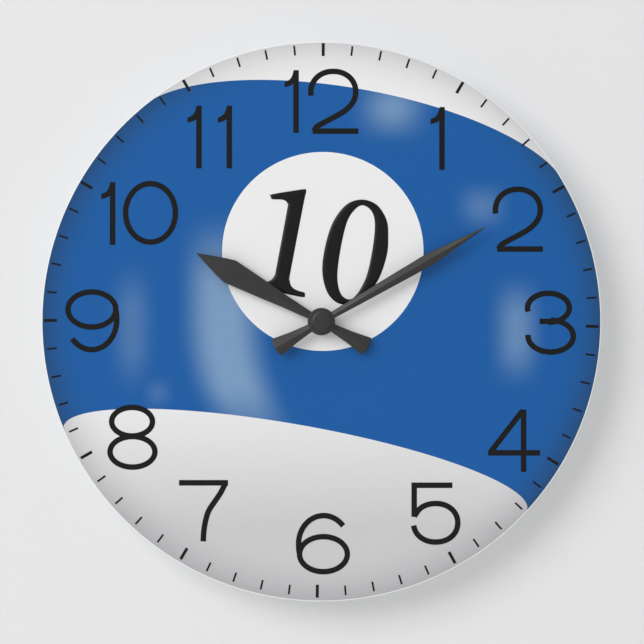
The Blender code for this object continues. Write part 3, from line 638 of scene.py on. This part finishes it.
def moulded_black():
    """Black moulded plastic with a fine spark-eroded texture; paler where it stands highest at the back, a
    painted highlight that stands in for the sheen picking out raised rims and signs against the darker
    recesses.
    """
    material, tree, shader, place = new_material("moulded_black", 0.5, Specular_IOR_Level=0.45)
    off_wall = node(tree, "ShaderNodeSeparateXYZ", {0: place}).outputs[2]
    # Painted highlight: the faces nearest the wall, which stand highest at the back, are paler than
    # everything deeper in
    painted_highlight = eased(tree, off_wall, 0.25 * MM, 0.05 * MM)
    colour = mixed(tree, painted_highlight, rgb(42, 42, 44), rgb(74, 74, 76))
    height = tinted(tree, shader, place, colour, 2600.0, 0.35)
    worn_roughness(tree, shader, place, 45.0, 0.8, 0.42, 0.6)
    bumped(tree, shader, height, 0.00005, 0.8)
    return material


def plain_grained(name, colour, roughness, metallic, scale, amount, depth):
    """A moulded or drawn finish: mottled colour, handled roughness and a fine bump."""
    material, tree, shader, place = new_material(name, roughness, metallic)
    height = tinted(tree, shader, place, colour, scale, amount)
    worn_roughness(tree, shader, place, 80.0, 0.8, roughness * 0.8, roughness * 1.3)
    bumped(tree, shader, height, depth)
    return material


def wall_paint():
    """Pale matt wall that can be seen through from behind, so the back of the clock can be looked at."""
    material, tree, shader, place = new_material("wall_paint", 0.9, Specular_IOR_Level=0.1)
    height = tinted(tree, shader, place, rgb(228, 228, 229), 40.0, 0.02)
    bumped(tree, shader, height, 0.0002, 0.3)
    behind = node(tree, "ShaderNodeNewGeometry").outputs["Backfacing"]
    nothing = node(tree, "ShaderNodeBsdfTransparent").outputs[0]
    choice = node(tree, "ShaderNodeMixShader", {0: behind, 1: shader.outputs[0], 2: nothing})
    tree.links.new(choice.outputs[0], tree.nodes["Material Output"].inputs["Surface"])
    return material


# ---- the printed face

SPOT_CENTRE = (0.7 * MM, 34.2 * MM)
SPOT_HALF = (49.1 * MM, 48.5 * MM)

# Tilt of the ball's pole to the side and to the back, and the line's height on a ball of radius 1
UPPER_LINE = (10.11, -19.96, 0.608)
LOWER_LINE = (10.08, -10.60, -0.5405)


def ball_line(side, back, level, count=80):
    """The visible part of a circle on a tilted ball, from left to right, on a face of radius 1."""
    side, back = radians(side), radians(back)
    pole = Vector((sin(side) * cos(back), cos(side) * cos(back), sin(back)))
    across = pole.cross(Vector((0, 0, 1))).normalized()
    towards = across.cross(pole)
    radius = sqrt(1 - level ** 2)
    half = acos(-level * pole.z / (radius * towards.z))
    points = []
    for i in range(count):
        turn = -half + 2 * half * i / (count - 1)
        point = pole * level + (across * sin(turn) + towards * cos(turn)) * radius
        points.append(Vector((point.x, point.y)))
    return points


def make_face():
    """Acrylic disc, then white print, blue stripe and white spot, each as its own thin layer."""
    edge = 0.35 * MM
    profile = [(HOLE_RADIUS, DISC_BACK)] + round_corner(DISC_RADIUS - edge, DISC_BACK + edge, edge, 180, 90)
    profile += round_corner(DISC_RADIUS - edge, FACE - edge, edge, 90, 0) + [(HOLE_RADIUS, FACE)]
    panel = turned(profile, 384)
    placed("acrylic_panel", panel, clear_acrylic(), "clock_body", ["dial_disc"])

    hole = ring((0, 0), HOLE_RADIUS, HOLE_RADIUS, 48)
    layer = slab(ring((0, 0), PRINT_RADIUS, PRINT_RADIUS, 384), FACE - SUNK, WHITE_TOP, [hole])
    ink = white_ink("white_print_ink", -35.0 * MM, -100.0 * MM, rgb(199, 199, 201), 1.0)
    placed("white_print", layer, ink, "clock_body")

    upper, lower = ball_line(*UPPER_LINE), ball_line(*LOWER_LINE)
    corners = (upper[-1], lower[-1], lower[0], upper[0])
    turns = [degrees(atan2(corner.x, corner.y)) % 360 for corner in corners]
    outline = upper + arc((0, 0), 1, 1, turns[0], turns[1], 60)[1:-1]
    outline += lower[::-1] + arc((0, 0), 1, 1, turns[2], turns[3], 60)[1:-1]
    outline = [point * min(DISC_RADIUS, PRINT_RADIUS / point.length) for point in outline]
    layer = slab(outline, WHITE_TOP - SUNK, STRIPE_TOP, [hole])
    placed("blue_stripe", layer, stripe_ink(), "clock_body")

    layer = slab(ring(SPOT_CENTRE, *SPOT_HALF, 192), STRIPE_TOP - SUNK, SPOT_TOP, [hole])
    ink = white_ink("spot_ink", 60.0 * MM, -14.0 * MM, rgb(231, 231, 232), 0.0)
    placed("white_spot", layer, ink, "clock_body")


# ---- numerals and marks
# Each figure is a list of strokes in millimetres from its own left foot, drawn with one pen. A stroke is
# a list of its outline and the hole it may go round.

PEN = 2.7
HALF_PEN = PEN / 2
FIGURE_HEIGHT = 30.6


def pen(path):
    return [stroke(path, PEN)]


def loop(centre, across, up):
    """A closed oval stroke; across and up are its outer half sizes."""
    return [ring(centre, across, up, 72), ring(centre, across - PEN, up - PEN, 72)]


def figure_one():
    flag = flowing([(-5.6, 24.8), (-3.4, 25.8), (-2.0, 27.6), (-1.35, 29.9)], steps=4)
    under = flowing([(-1.35, 23.9), (-3.2, 22.9), (-5.6, 22.3)], steps=4)
    outline = [(HALF_PEN, 0.0), (HALF_PEN, FIGURE_HEIGHT), (-HALF_PEN + 0.2, FIGURE_HEIGHT)]
    return [[outline + flag[::-1] + under[::-1] + [(-HALF_PEN, 0.0)]]]


def figure_two():
    bowl = arc((12.3, 20.4), 10.95, 10.1, 260, 450, 40, fullness=2.1)
    tail = flowing([bowl[-1], (22.8, 17.6), (21.2, 14.5), (18.2, 11.5), (14.4, 9.1), (8.8, 6.1), (4.3, 3.5),
                    (2.9, 1.35)], steps=5)
    return [pen(bowl + tail[1:]), pen([(2.2, HALF_PEN), (24.5, HALF_PEN)])]


def figure_three():
    upper = arc((12.1, 22.8), 10.2, 7.1, 255, 540, 40)
    lower = arc((13.2, 9.0), 11.05, 7.75, 0, 275, 40)
    bar = [(7.8, 16.2), (13.4, 16.2)]
    return [pen(upper), pen(lower), pen(bar)]


def figure_four():
    return [pen([(17.3, 0.0), (17.3, 30.4)]), pen([(0.0, 9.3), (25.3, 9.3)]),
            pen([(16.9, 30.0), (1.0, 9.5)])]


def figure_five():
    bowl = arc((12.5, 10.8), 10.8, 9.4, -50, 262, 48, fullness=2.1)
    return [pen([(20.7, 29.1), (2.05, 29.1), (2.05, 13.7)]), pen([(2.05, 13.9)] + bowl)]


def looped(rise):
    """An oval loop with a long curve over it, which ends open on the right; rise is the curve's height."""
    back = arc((13.7, 15.0), 12.2, rise, 51, -92, 40)
    side = flowing([back[-1], (1.6, 12.0), (2.0, 10.0)])
    return [loop((13.6, 9.8), 13.0, 9.9), pen(back + side[1:])]


def figure_six():
    return looped(13.6)


def figure_seven():
    fall = [(22.7, 28.6), (20.3, 23.8), (17.3, 19.3), (14.3, 14.6), (12.7, 9.0), (12.0, 4.0), (11.8, 0.0)]
    fall = flowing(fall, steps=6)
    return [pen([(0.0, 28.6), (23.9, 28.6)]), pen(fall)]


def figure_eight():
    return [loop((12.1, 8.8), 12.3, 8.8), loop((11.9, 23.5), 11.3, 8.3)]


def figure_nine():
    """The six turned upside down, with a slightly longer tail."""
    width, height = (25.9, 30.8)
    return [[[(width - p[0], height - p[1]) for p in points] for points in loops] for loops in looped(14.4)]


def figure_nought():
    return [loop((13.5, 15.6), 13.5, 15.6)]


NUMERALS = {    # hour: figures with their left foot, right and up of the face's centre
    1: [(figure_one, 58.8, 74.0)],
    2: [(figure_two, 83.5, 34.0)],
    3: [(figure_three, 98.6, -16.1)],
    4: [(figure_four, 81.3, -73.3)],
    5: [(figure_five, 43.2, -108.9)],
    6: [(figure_six, -12.6, -123.2)],
    7: [(figure_seven, -69.4, -107.2)],
    8: [(figure_eight, -104.2, -72.3)],
    9: [(figure_nine, -124.2, -15.1)],
    10: [(figure_one, -101.8, 37.4), (figure_nought, -96.8, 37.4)],
    11: [(figure_one, -59.7, 74.7), (figure_one, -44.9, 74.7)],
    12: [(figure_one, -12.35, 92.0), (figure_two, -6.5, 91.5)],
}


def make_numerals(ink):
    for hour, figures in NUMERALS.items():
        solids = []
        for draw, right, up in figures:
            strokes = []
            for loops in draw():
                outline, *holes = (scaled(loop, MM, (right * MM, up * MM)) for loop in loops)
                strokes.append(slab(outline, STRIPE_TOP - SUNK, INK_TOP, holes))
            solids.append(joined(strokes[0], strokes[1:]) if len(strokes) > 1 else strokes[0])
        whole = solids[0]
        for other in solids[1:]:
            mesh = bpy.data.meshes.new("figure")
            other.to_mesh(mesh)
            other.free()
            whole.from_mesh(mesh)
            bpy.data.meshes.remove(mesh)
        placed(f"numeral_{hour}", whole, ink, "clock_body")


PRINT_TURN = 0.63       # degrees by which the printed ring sits clockwise
RING_SHIFT = 0.6 * MM   # and how far it has slipped upwards


def make_marks(ink):
    """Sixty marks round the edge, every fifth longer and wider."""
    for name, wanted, inner, outer, width in (("hour_marks", True, 128.9, 135.2, 1.45),
                                              ("minute_marks", False, 129.8, 134.5, 0.92)):
        bm = bmesh.new()
        for minute in range(60):
            if (minute % 5 == 0) != wanted:
                continue
            angle = minute * 6
            lift = RING_SHIFT * cos(radians(angle))
            angle += PRINT_TURN + 0.38 * sin(radians(angle)) - 0.24 * cos(radians(angle))
            ends = [heading(angle, inner * MM + lift), heading(angle, outer * MM + lift)]
            outline = stroke(ends, width * MM)
            add_slab(bm, outline, STRIPE_TOP - SUNK, INK_TOP)
        placed(name, bm, ink, "clock_body")


def make_spot_number():
    """Sloping serif one and nought, with soft rounded edges."""
    ink = raised_black()
    back, front, soft = (SPOT_TOP - SUNK, SPOT_TOP + 0.6 * MM, 2.2 * MM)
    one = [(-24.6, 60.9), (-23.9, 62.1), (-9.2, 64.5), (-7.8, 64.4), (-7.4, 63.2), (-8.6, 58.0)]
    one += [(-15.3, 23.0), (-15.5, 20.6), (-15.0, 18.0), (-13.6, 16.2), (-11.2, 15.0), (-8.4, 14.2)]
    one += [(-8.0, 13.1), (-8.8, 11.9), (-15.3, 13.1), (-22.0, 14.8), (-29.4, 17.0), (-30.1, 18.0)]
    one += [(-29.7, 19.2), (-26.8, 19.3), (-24.4, 20.4), (-22.8, 22.6), (-22.1, 25.4), (-16.6, 55.0)]
    one += [(-16.5, 57.4), (-17.4, 58.8), (-19.4, 59.5), (-23.9, 59.7)]
    figure = cushion(flowing(scaled(one), True, 4), back, front, soft)
    placed("ball_number_one", figure, ink, "clock_body", smooth=60)

    outer = [(19.2, 59.5), (26.8, 57.1), (31.7, 49.8), (32.6, 41.5), (31.8, 32.0), (27.5, 20.0), (19.9, 11.0)]
    outer += [(10.6, 8.3), (3.8, 12.7), (0.6, 22.5), (1.3, 34.0), (5.2, 47.5), (11.6, 56.5)]
    inner = [(20.3, 56.7), (24.6, 53.6), (26.1, 47.0), (24.7, 34.0), (21.4, 20.6), (15.4, 11.4)]
    inner += [(10.0, 12.8), (7.8, 21.0), (9.1, 34.0), (12.3, 48.0), (16.1, 54.4)]
    hole = flowing(scaled(inner), True, 8)
    figure = cushion(flowing(scaled(outer), True, 8), back, front, soft, [hole])
    placed("ball_number_nought", figure, ink, "clock_body", smooth=60)


# ---- hands

def leaf_blade(stations, back, edge, crown):
    """A hand's leaf: flat back, upright edge, small chamfer and a low roof, between (along, half width)."""
    side_top, roof_foot = (back + edge - 0.15 * MM, back + edge + 0.08 * MM)
    sections = []
    for along, half in stations:
        chamfer = min(0.25 * MM, half * 0.35)
        ridge = back + edge + (crown - edge) * min(1.0, half / (1.2 * MM))
        section = [(-half, back), (half, back), (half, side_top), (half - chamfer, roof_foot)]
        section += [(0.0, ridge), (-half + chamfer, roof_foot), (-half, side_top)]
        sections.append([(across, along, height) for across, height in section])
    return skinned(sections)


def tail_stations(length, corner_half):
    """The fan-shaped tail: a round end, then straight sides in to the hub."""
    end_radius = 10.4 * MM
    centre = end_radius - length
    halves = [corner_half * share for share in (0.12, 0.35, 0.55, 0.72, 0.86, 0.95, 1.0)]
    stations = [(centre - sqrt(end_radius ** 2 - half ** 2), half) for half in halves]
    return stations + [(-15.6 * MM, 3.05 * MM), (-7.0 * MM, 2.1 * MM)]


# The leaves past the hub: share of the length, half width in millimetres
HOUR_LEAF = ((0.10, 1.9), (0.295, 3.05), (0.50, 4.55), (0.73, 6.1), (0.80, 4.8), (0.90, 2.45), (1.0, 0.08))
MINUTE_LEAF = ((0.075, 1.7), (0.22, 2.15), (0.47, 2.75), (0.66, 3.15), (0.76, 2.25), (0.88, 1.15),
               (1.0, 0.08))


def make_hand(name, material, body, node_name, hub_radius, bore, leaf):
    """One hand, with its fan tail, domed hub and hole; drawn pointing up and turned to its own angle."""
    angle, length = reach(node_name)
    back, front = heights(node_name)
    thickness = front - back
    stations = tail_stations(26.1 * MM, 4.7 * MM)
    stations += [(length * share, half * MM) for share, half in leaf]
    blade = leaf_blade(stations, back, thickness * 0.35, thickness)
    soft = 0.25 * MM
    profile = [(0.0, back), (hub_radius, back)] + round_corner(hub_radius - soft, front - soft, soft, 90, 0)
    hub = turned(profile + [(0.0, front)], 96)
    hole = turned([(0.0, back - MM), (bore, back - MM), (bore, front + MM), (0.0, front + MM)], 48)
    whole = joined(joined(blade, [hub]), [hole], "DIFFERENCE")
    placed(name, whole, material, body, [node_name], turn=angle, smooth=12.0)


def make_hands():
    enamel = hand_enamel()
    make_hand("hour_hand_leaf", enamel, "hour_hand_body", "hour_hand", 6.7 * MM, 2.8 * MM, HOUR_LEAF)
    make_hand("minute_hand_leaf", enamel, "minute_hand_body", "minute_hand", 6.6 * MM, 1.9 * MM, MINUTE_LEAF)

    back, front = heights("cap_nut")
    radius = half_width("cap_nut")
    crown = 1.0 * MM
    bore, inside = (1.9 * MM, front - 0.6 * MM)
    profile = [(0.0, front)] + round_corner(radius - crown, front - crown, crown, 0, 90, 7)
    profile += [(radius, back + 0.2 * MM), (radius - 0.2 * MM, back)]
    profile += [(bore, back), (bore, inside), (0.0, inside)]
    placed("cap_nut_turned", turned(profile, 96), enamel, "minute_hand_body", ["cap_nut"])


# ---- the rest of the clock

def ring_profile(inner, outer, back, front, soft):
    """A washer's section with rounded edges."""
    near, far, low, high = (inner + soft, outer - soft, back + soft, front - soft)
    profile = []
    for radius, height, start in ((near, low, 180), (near, high, 270), (far, high, 0), (far, low, 90)):
        profile += round_corner(radius, height, soft, start, start + 90, 4)
    return profile


def make_fixings(brass, rubber):
    """Washers, nut and threaded bushing that clamp the panel to the movement."""
    for name, material, slot, soft in (("rubber_washer", rubber, "rubber", 0.3 * MM),
                                       ("brass_washer", brass, "brass", 0.12 * MM)):
        washer = turned(ring_profile(HOLE_RADIUS, half_width(name), *heights(name), soft), 96)
        placed(name + "_ring", washer, material, "clock_body", [name])

    back, front = heights("hex_nut")
    flats, corners, bevel = (5.5 * MM, 6.4 * MM, 0.45 * MM)
    low, high = (back - CLEAR, front + CLEAR)
    profile = [(0.0, low), (flats, low), (corners, low + bevel), (corners, high - bevel), (flats, high)]
    nut = joined(drawn("hex_nut"), [turned(profile + [(0.0, high)], 96)], "INTERSECT")
    placed("hex_nut_chamfered", nut, brass, "clock_body", ["hex_nut"], smooth=20.0)

    back, front = heights("threaded_bushing")
    crest, root, bore, pitch = (4.0 * MM, 3.72 * MM, 2.8 * MM, 0.6 * MM)
    case_front = heights("front_case")[1]
    seat = 5.0 * MM
    profile = [(bore, back), (bore, front - 0.2 * MM), (bore + 0.2 * MM, front), (root, front)]
    height = front - 0.3 * MM
    while height - pitch > case_front:
        profile += [(crest, height), (crest, height - 0.1 * MM), (root, height - pitch / 2)]
        height -= pitch
    profile += [(root, case_front), (seat, case_front), (seat, back)]
    bushing = turned(profile, 64)
    placed("bushing_thread", bushing, brass, "clock_body", ["threaded_bushing"], smooth=25.0)


def make_hanger(steel):
    """Sheet strap bent over the top of the movement, with a keyhole tab against the wall."""
    wide, sheet, bend = (6.0 * MM, 0.8 * MM, 1.2 * MM)
    back, front = heights("hanger_bracket")
    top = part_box("hanger_bracket")[1].z
    riser = 29.1 * MM
    low, high = (back + sheet / 2, front - sheet / 2)
    path = [(0.0, high)] + arc((riser - bend, high - bend), bend, bend, 0, 90, 7)
    path += arc((riser + bend, low + bend), bend, bend, 270, 180, 7) + [(top, low)]
    side = slab(stroke(path, sheet), -wide, wide)
    side.transform(Matrix(((0, 0, 1, 0), (1, 0, 0, 0), (0, 1, 0, 0), (0, 0, 0, 1))))
    corner = 3.0 * MM
    outline = [(-wide, -MM), (wide, -MM)] + arc((wide - corner, top - corner), corner, corner, 90, 0, 8)
    outline += arc((corner - wide, top - corner), corner, corner, 0, -90, 8)
    keyhole = arc((0.0, 36.0 * MM), 3.6 * MM, 3.6 * MM, 30, 330, 25)
    keyhole += arc((0.0, 40.0 * MM), 1.8 * MM, 1.8 * MM, 270, 450, 13)
    strap = joined(side, [slab(outline, -MM, front + MM, [keyhole])], "INTERSECT")
    eye = slab(ring((0.0, 0.0), 9.0 * MM, 9.0 * MM), front - sheet, front)
    hole = slab(ring((0.0, 0.0), HOLE_RADIUS, HOLE_RADIUS, 48), front - 3 * sheet, front + MM)
    strap = joined(joined(strap, [eye]), [hole], "DIFFERENCE")
    placed("hanger_strap", strap, steel, "clock_body", ["hanger_bracket"])


# ---- the movement's back

KNOB_AXIS = middle("setting_knob").xy
KNOB_WELL = 6.9 * MM


def curved_arrow(centre, radius, start, end, width):
    """A round arrow with a head at both ends."""
    points = []
    for first, last, side in ((start, end, 1.0), (end, start, -1.0)):
        edge, wing = (radius + side * width / 2, side * width * 1.3)
        points += arc(centre, edge, edge, first, last, 17)
        for angle, away in ((last, radius + wing), (last + side * 9.0, radius), (last, radius - wing)):
            points.append(centre + heading(angle, away))
    return points


def cross_outline(centre, half, pen):
    """A plus sign."""
    corners = [(half, pen), (pen, pen), (pen, half), (-pen, half), (-pen, pen), (-half, pen)]
    corners += [(-half, -pen), (-pen, -pen), (-pen, -half), (pen, -half), (pen, -pen), (half, -pen)]
    return [(centre[0] + x, centre[1] + y) for x, y in corners]


def make_case(black):
    """The tray with rounded outer edges, and the lid with its rims, arrow and battery signs left standing."""
    back, front = heights("front_case")
    half = half_width("front_case")

    def outline_of(inset):
        side = half - inset
        return rounded(-side, side, -side, side, 3.0 * MM - inset, 8)

    shaper = block(outline_of, back, front, 0.5 * MM, 0.9 * MM)
    tray = joined(drawn("front_case"), [shaper], "INTERSECT")
    placed("case_tray", tray, black, "clock_body", ["front_case"], smooth=28.0)

    low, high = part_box("back_cover")
    lid_half, border, sunk = (26.3 * MM, 1.5 * MM, 0.5 * MM)
    wide, top, foot = (lid_half - border, high.z - border, low.z + border)
    islands = [ring(KNOB_AXIS, KNOB_WELL + border, KNOB_WELL + border, 64)]
    islands.append(curved_arrow(KNOB_AXIS, 10.6 * MM, 55.0, 125.0, 0.9 * MM))
    sign_up, sign_right, long, thin = (-5.6 * MM, 19.0 * MM, 1.5 * MM, 0.35 * MM)
    islands.append(cross_outline((sign_right, sign_up), long, thin))
    islands.append(rounded(-sign_right - long, long - sign_right, sign_up - thin, sign_up + thin,
                           0.1 * MM, 3))
    cell = [(-12.0, -2.1), (12.0, -2.1), (12.0, -0.8), (13.2, -0.8)]
    cell += [(13.2, 0.8), (12.0, 0.8), (12.0, 2.1), (-12.0, 2.1)]
    islands.append(scaled(cell, MM, (0.0, sign_up)))
    sink = slab(rounded(-wide, wide, foot, top, 1.2 * MM), -MM, sunk, islands)
    inner = scaled([(-11.5, -1.6), (11.5, -1.6), (11.5, 1.6), (-11.5, 1.6)], MM, (0.0, sign_up))
    hollow = slab(inner, -MM, sunk)
    pins = bmesh.new()
    for pin in ((21.5, 21.5), (-22.0, 21.5), (5.0, 15.0), (21.0, 3.0)):
        add_slab(pins, ring((pin[0] * MM, pin[1] * MM), 1.3 * MM, 1.3 * MM, 32), 0.0, sunk + 0.12 * MM)
    lid = joined(drawn("back_cover"), [sink, hollow, pins], "DIFFERENCE")
    placed("case_lid", lid, black, "clock_body", ["back_cover"], smooth=28.0)


def make_knob(black):
    """Ridged setting knob with a rounded edge and a ring groove round its slot."""
    back, front = heights("setting_knob")
    back, front = (back - CLEAR, front + CLEAR)
    radius = half_width("setting_knob") + CLEAR
    soft = 0.5 * MM
    groove, dip = (5.3 * MM, back + 0.3 * MM)
    profile = [(0.0, back), (groove - 0.5 * MM, back), (groove - 0.2 * MM, dip), (groove + 0.2 * MM, dip)]
    profile += [(groove + 0.4 * MM, back)] + round_corner(radius - soft, back + soft, soft, 180, 90)
    shaper = turned(profile + [(radius, front), (0.0, front)], 96)
    knob = joined(drawn("setting_knob", KNOB_AXIS), [shaper], "INTERSECT")
    placed("knob_ridged", knob, black, "setting_knob_body", ["setting_knob"],
           axis=KNOB_AXIS, smooth=25.0)


def battery_print():
    """Printed sleeve: dark blue with a pale band towards the raised end."""
    material, tree, shader, place = new_material("battery_print", 0.26, Coat_Weight=0.4)
    along = node(tree, "ShaderNodeSeparateXYZ", {0: place}).outputs[2]
    band = eased(tree, along, 10.0 * MM, 10.1 * MM)
    line = maths(tree, "COMPARE", along, 8.4 * MM, 0.4 * MM)
    colour = mixed(tree, band, rgb(34, 62, 112), rgb(196, 199, 203))
    colour = mixed(tree, line, colour, rgb(214, 216, 218))
    height = tinted(tree, shader, place, colour, 500.0, 0.06)
    bumped(tree, shader, height, 0.00001)
    return material


def make_battery(steel):
    """A cylindrical cell lying along x, raised end to the right."""
    low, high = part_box("battery")
    half, radius = (high.x - low.x) / 2, (high.z - low.z) / 2
    lying = (middle("battery").y, middle("battery").z)
    shoulder, lip = (half - 1.4 * MM, 0.6 * MM)
    profile = [(radius - 1.2 * MM, 0.3 * MM - half), (radius - 1.2 * MM, shoulder - 0.2 * MM)]
    profile += [(radius - 1.0 * MM, shoulder)] + round_corner(radius - lip, shoulder - lip, lip, 0, 90, 6)
    profile += round_corner(radius - lip, lip - half, lip, 90, 180, 6) + [(radius - 1.0 * MM, -half)]
    placed("battery_sleeve", turned(profile, 96), battery_print(), "battery_body",
           ["battery"], lying=lying)
    nub, soft = (2.8 * MM, 0.4 * MM)
    profile = [(0.0, half)] + round_corner(nub - soft, half - soft, soft, 0, 90, 5)
    inside = radius - 1.3 * MM
    profile += [(nub, shoulder - 0.1 * MM), (inside, shoulder - 0.4 * MM), (inside, 0.4 * MM - half)]
    profile += [(inside - 0.5 * MM, 0.2 * MM - half), (0.0, 0.2 * MM - half)]
    placed("battery_ends", turned(profile, 96), steel, "battery_body", ["battery"],
           lying=lying)


def dress_inner_nodes(brass, steel, black, rubber):
    """Frame nodes that are right as they are keep their mesh and take a worked finish."""
    acetal = plain_grained("acetal", rgb(228, 228, 222), 0.4, 0.0, 900.0, 0.05, 0.00001)
    copper = plain_grained("enamelled_copper", rgb(196, 112, 62), 0.3, 1.0, 3000.0, 0.5, 0.00004)
    finishes = {
        "brass": brass, "steel": steel, "case_plastic": black, "gear_plastic": acetal, "copper": copper,
        "rubber": rubber,
        "magnet": plain_grained("sintered_magnet", rgb(120, 120, 124), 0.45, 0.8, 1600.0, 0.4, 0.00003),
        "board": plain_grained("green_laminate", rgb(38, 104, 62), 0.4, 0.0, 1200.0, 0.3, 0.00002),
        "resin": plain_grained("potting_resin", rgb(26, 26, 26), 0.25, 0.0, 800.0, 0.3, 0.00003),
    }
    slots = {part["node"]: part["material_slot"] for part in frame["record"]["subparts"]}
    for name, thing in frame["nodes"].items():
        if thing.hide_render:
            continue
        for slot in thing.material_slots:
            slot.material = finishes[slots[name]]


# ---- wall, light and camera

CAMERA_DISTANCE = 1.6       # metres from the face
VIEW_WIDTH = 0.314          # metres of the face's plane across the picture


def add_plane(name, corners, paint):
    mesh = bpy.data.meshes.new(name)
    mesh.from_pydata(corners, [], [(0, 1, 2, 3)])
    mesh.materials.append(paint)
    return in_scene(name, mesh)


def make_room():
    wide, high, gap = (2.5, 2.0, 1.0 * MM)
    corners = [(-wide, gap, -high), (wide, gap, -high), (wide, gap, high), (-wide, gap, high)]
    wall = add_plane("wall", corners, wall_paint())
    wall.visible_shadow = False

    level, near, far = (-0.5, -3.0, 1.5)
    corners = [(-wide, near, level), (wide, near, level), (wide, far, level), (-wide, far, level)]
    paint = plain_grained("floor_paint", rgb(222, 221, 219), 0.7, 0.0, 30.0, 0.03, 0.0002)
    floor = add_plane("floor", corners, paint)


def add_lamp(name, place, size, energy):
    """A round soft lamp that looks at the middle of the wall."""
    light = bpy.data.lights.new(name, "AREA")
    light.shape = "DISK"
    light.size = size
    light.energy = energy
    lamp = in_scene(name, light)
    lamp.location = place
    lamp.rotation_euler = (-Vector(place)).to_track_quat("-Z", "Y").to_euler()


def make_light():
    world = bpy.data.worlds.new("studio")
    world.use_nodes = True
    background = world.node_tree.nodes["Background"]
    background.inputs["Color"].default_value = (0.975, 0.98, 0.985, 1.0)
    background.inputs["Strength"].default_value = 0.655
    bpy.context.scene.world = world
    add_lamp("key", (-2.4, -3.3, 1.7), 3.0, 92.0)
    add_lamp("back_left", (-0.9, 1.2, 0.8), 0.8, 8.0)
    add_lamp("back_right", (1.0, 1.1, 0.5), 0.8, 7.0)


def make_camera():
    camera = bpy.data.cameras.new("camera")
    camera.lens = camera.sensor_width * CAMERA_DISTANCE / VIEW_WIDTH
    camera.clip_start, camera.clip_end = (0.05, 20.0)
    holder = in_scene("camera", camera)
    holder.location = (0.3 * MM, -(FACE + CAMERA_DISTANCE), -0.2 * MM)
    holder.rotation_euler = (pi / 2, 0.0, 0.0)
    bpy.context.scene.camera = holder
    bpy.context.scene.view_settings.view_transform = "Standard"


# ---- making it

BLACK_INK = black_ink()
make_face()
make_numerals(BLACK_INK)
make_marks(BLACK_INK)
make_spot_number()
make_hands()
BRASS, STEEL, BLACK = turned_brass(), zinc_steel(), moulded_black()
RUBBER = plain_grained("rubber_black", rgb(40, 40, 40), 0.75, 0.0, 1800.0, 0.4, 0.00004)
make_fixings(BRASS, RUBBER)
make_hanger(STEEL)
make_case(BLACK)
make_knob(BLACK)
make_battery(STEEL)
dress_inner_nodes(BRASS, STEEL, BLACK, RUBBER)
make_room()
make_light()
make_camera()
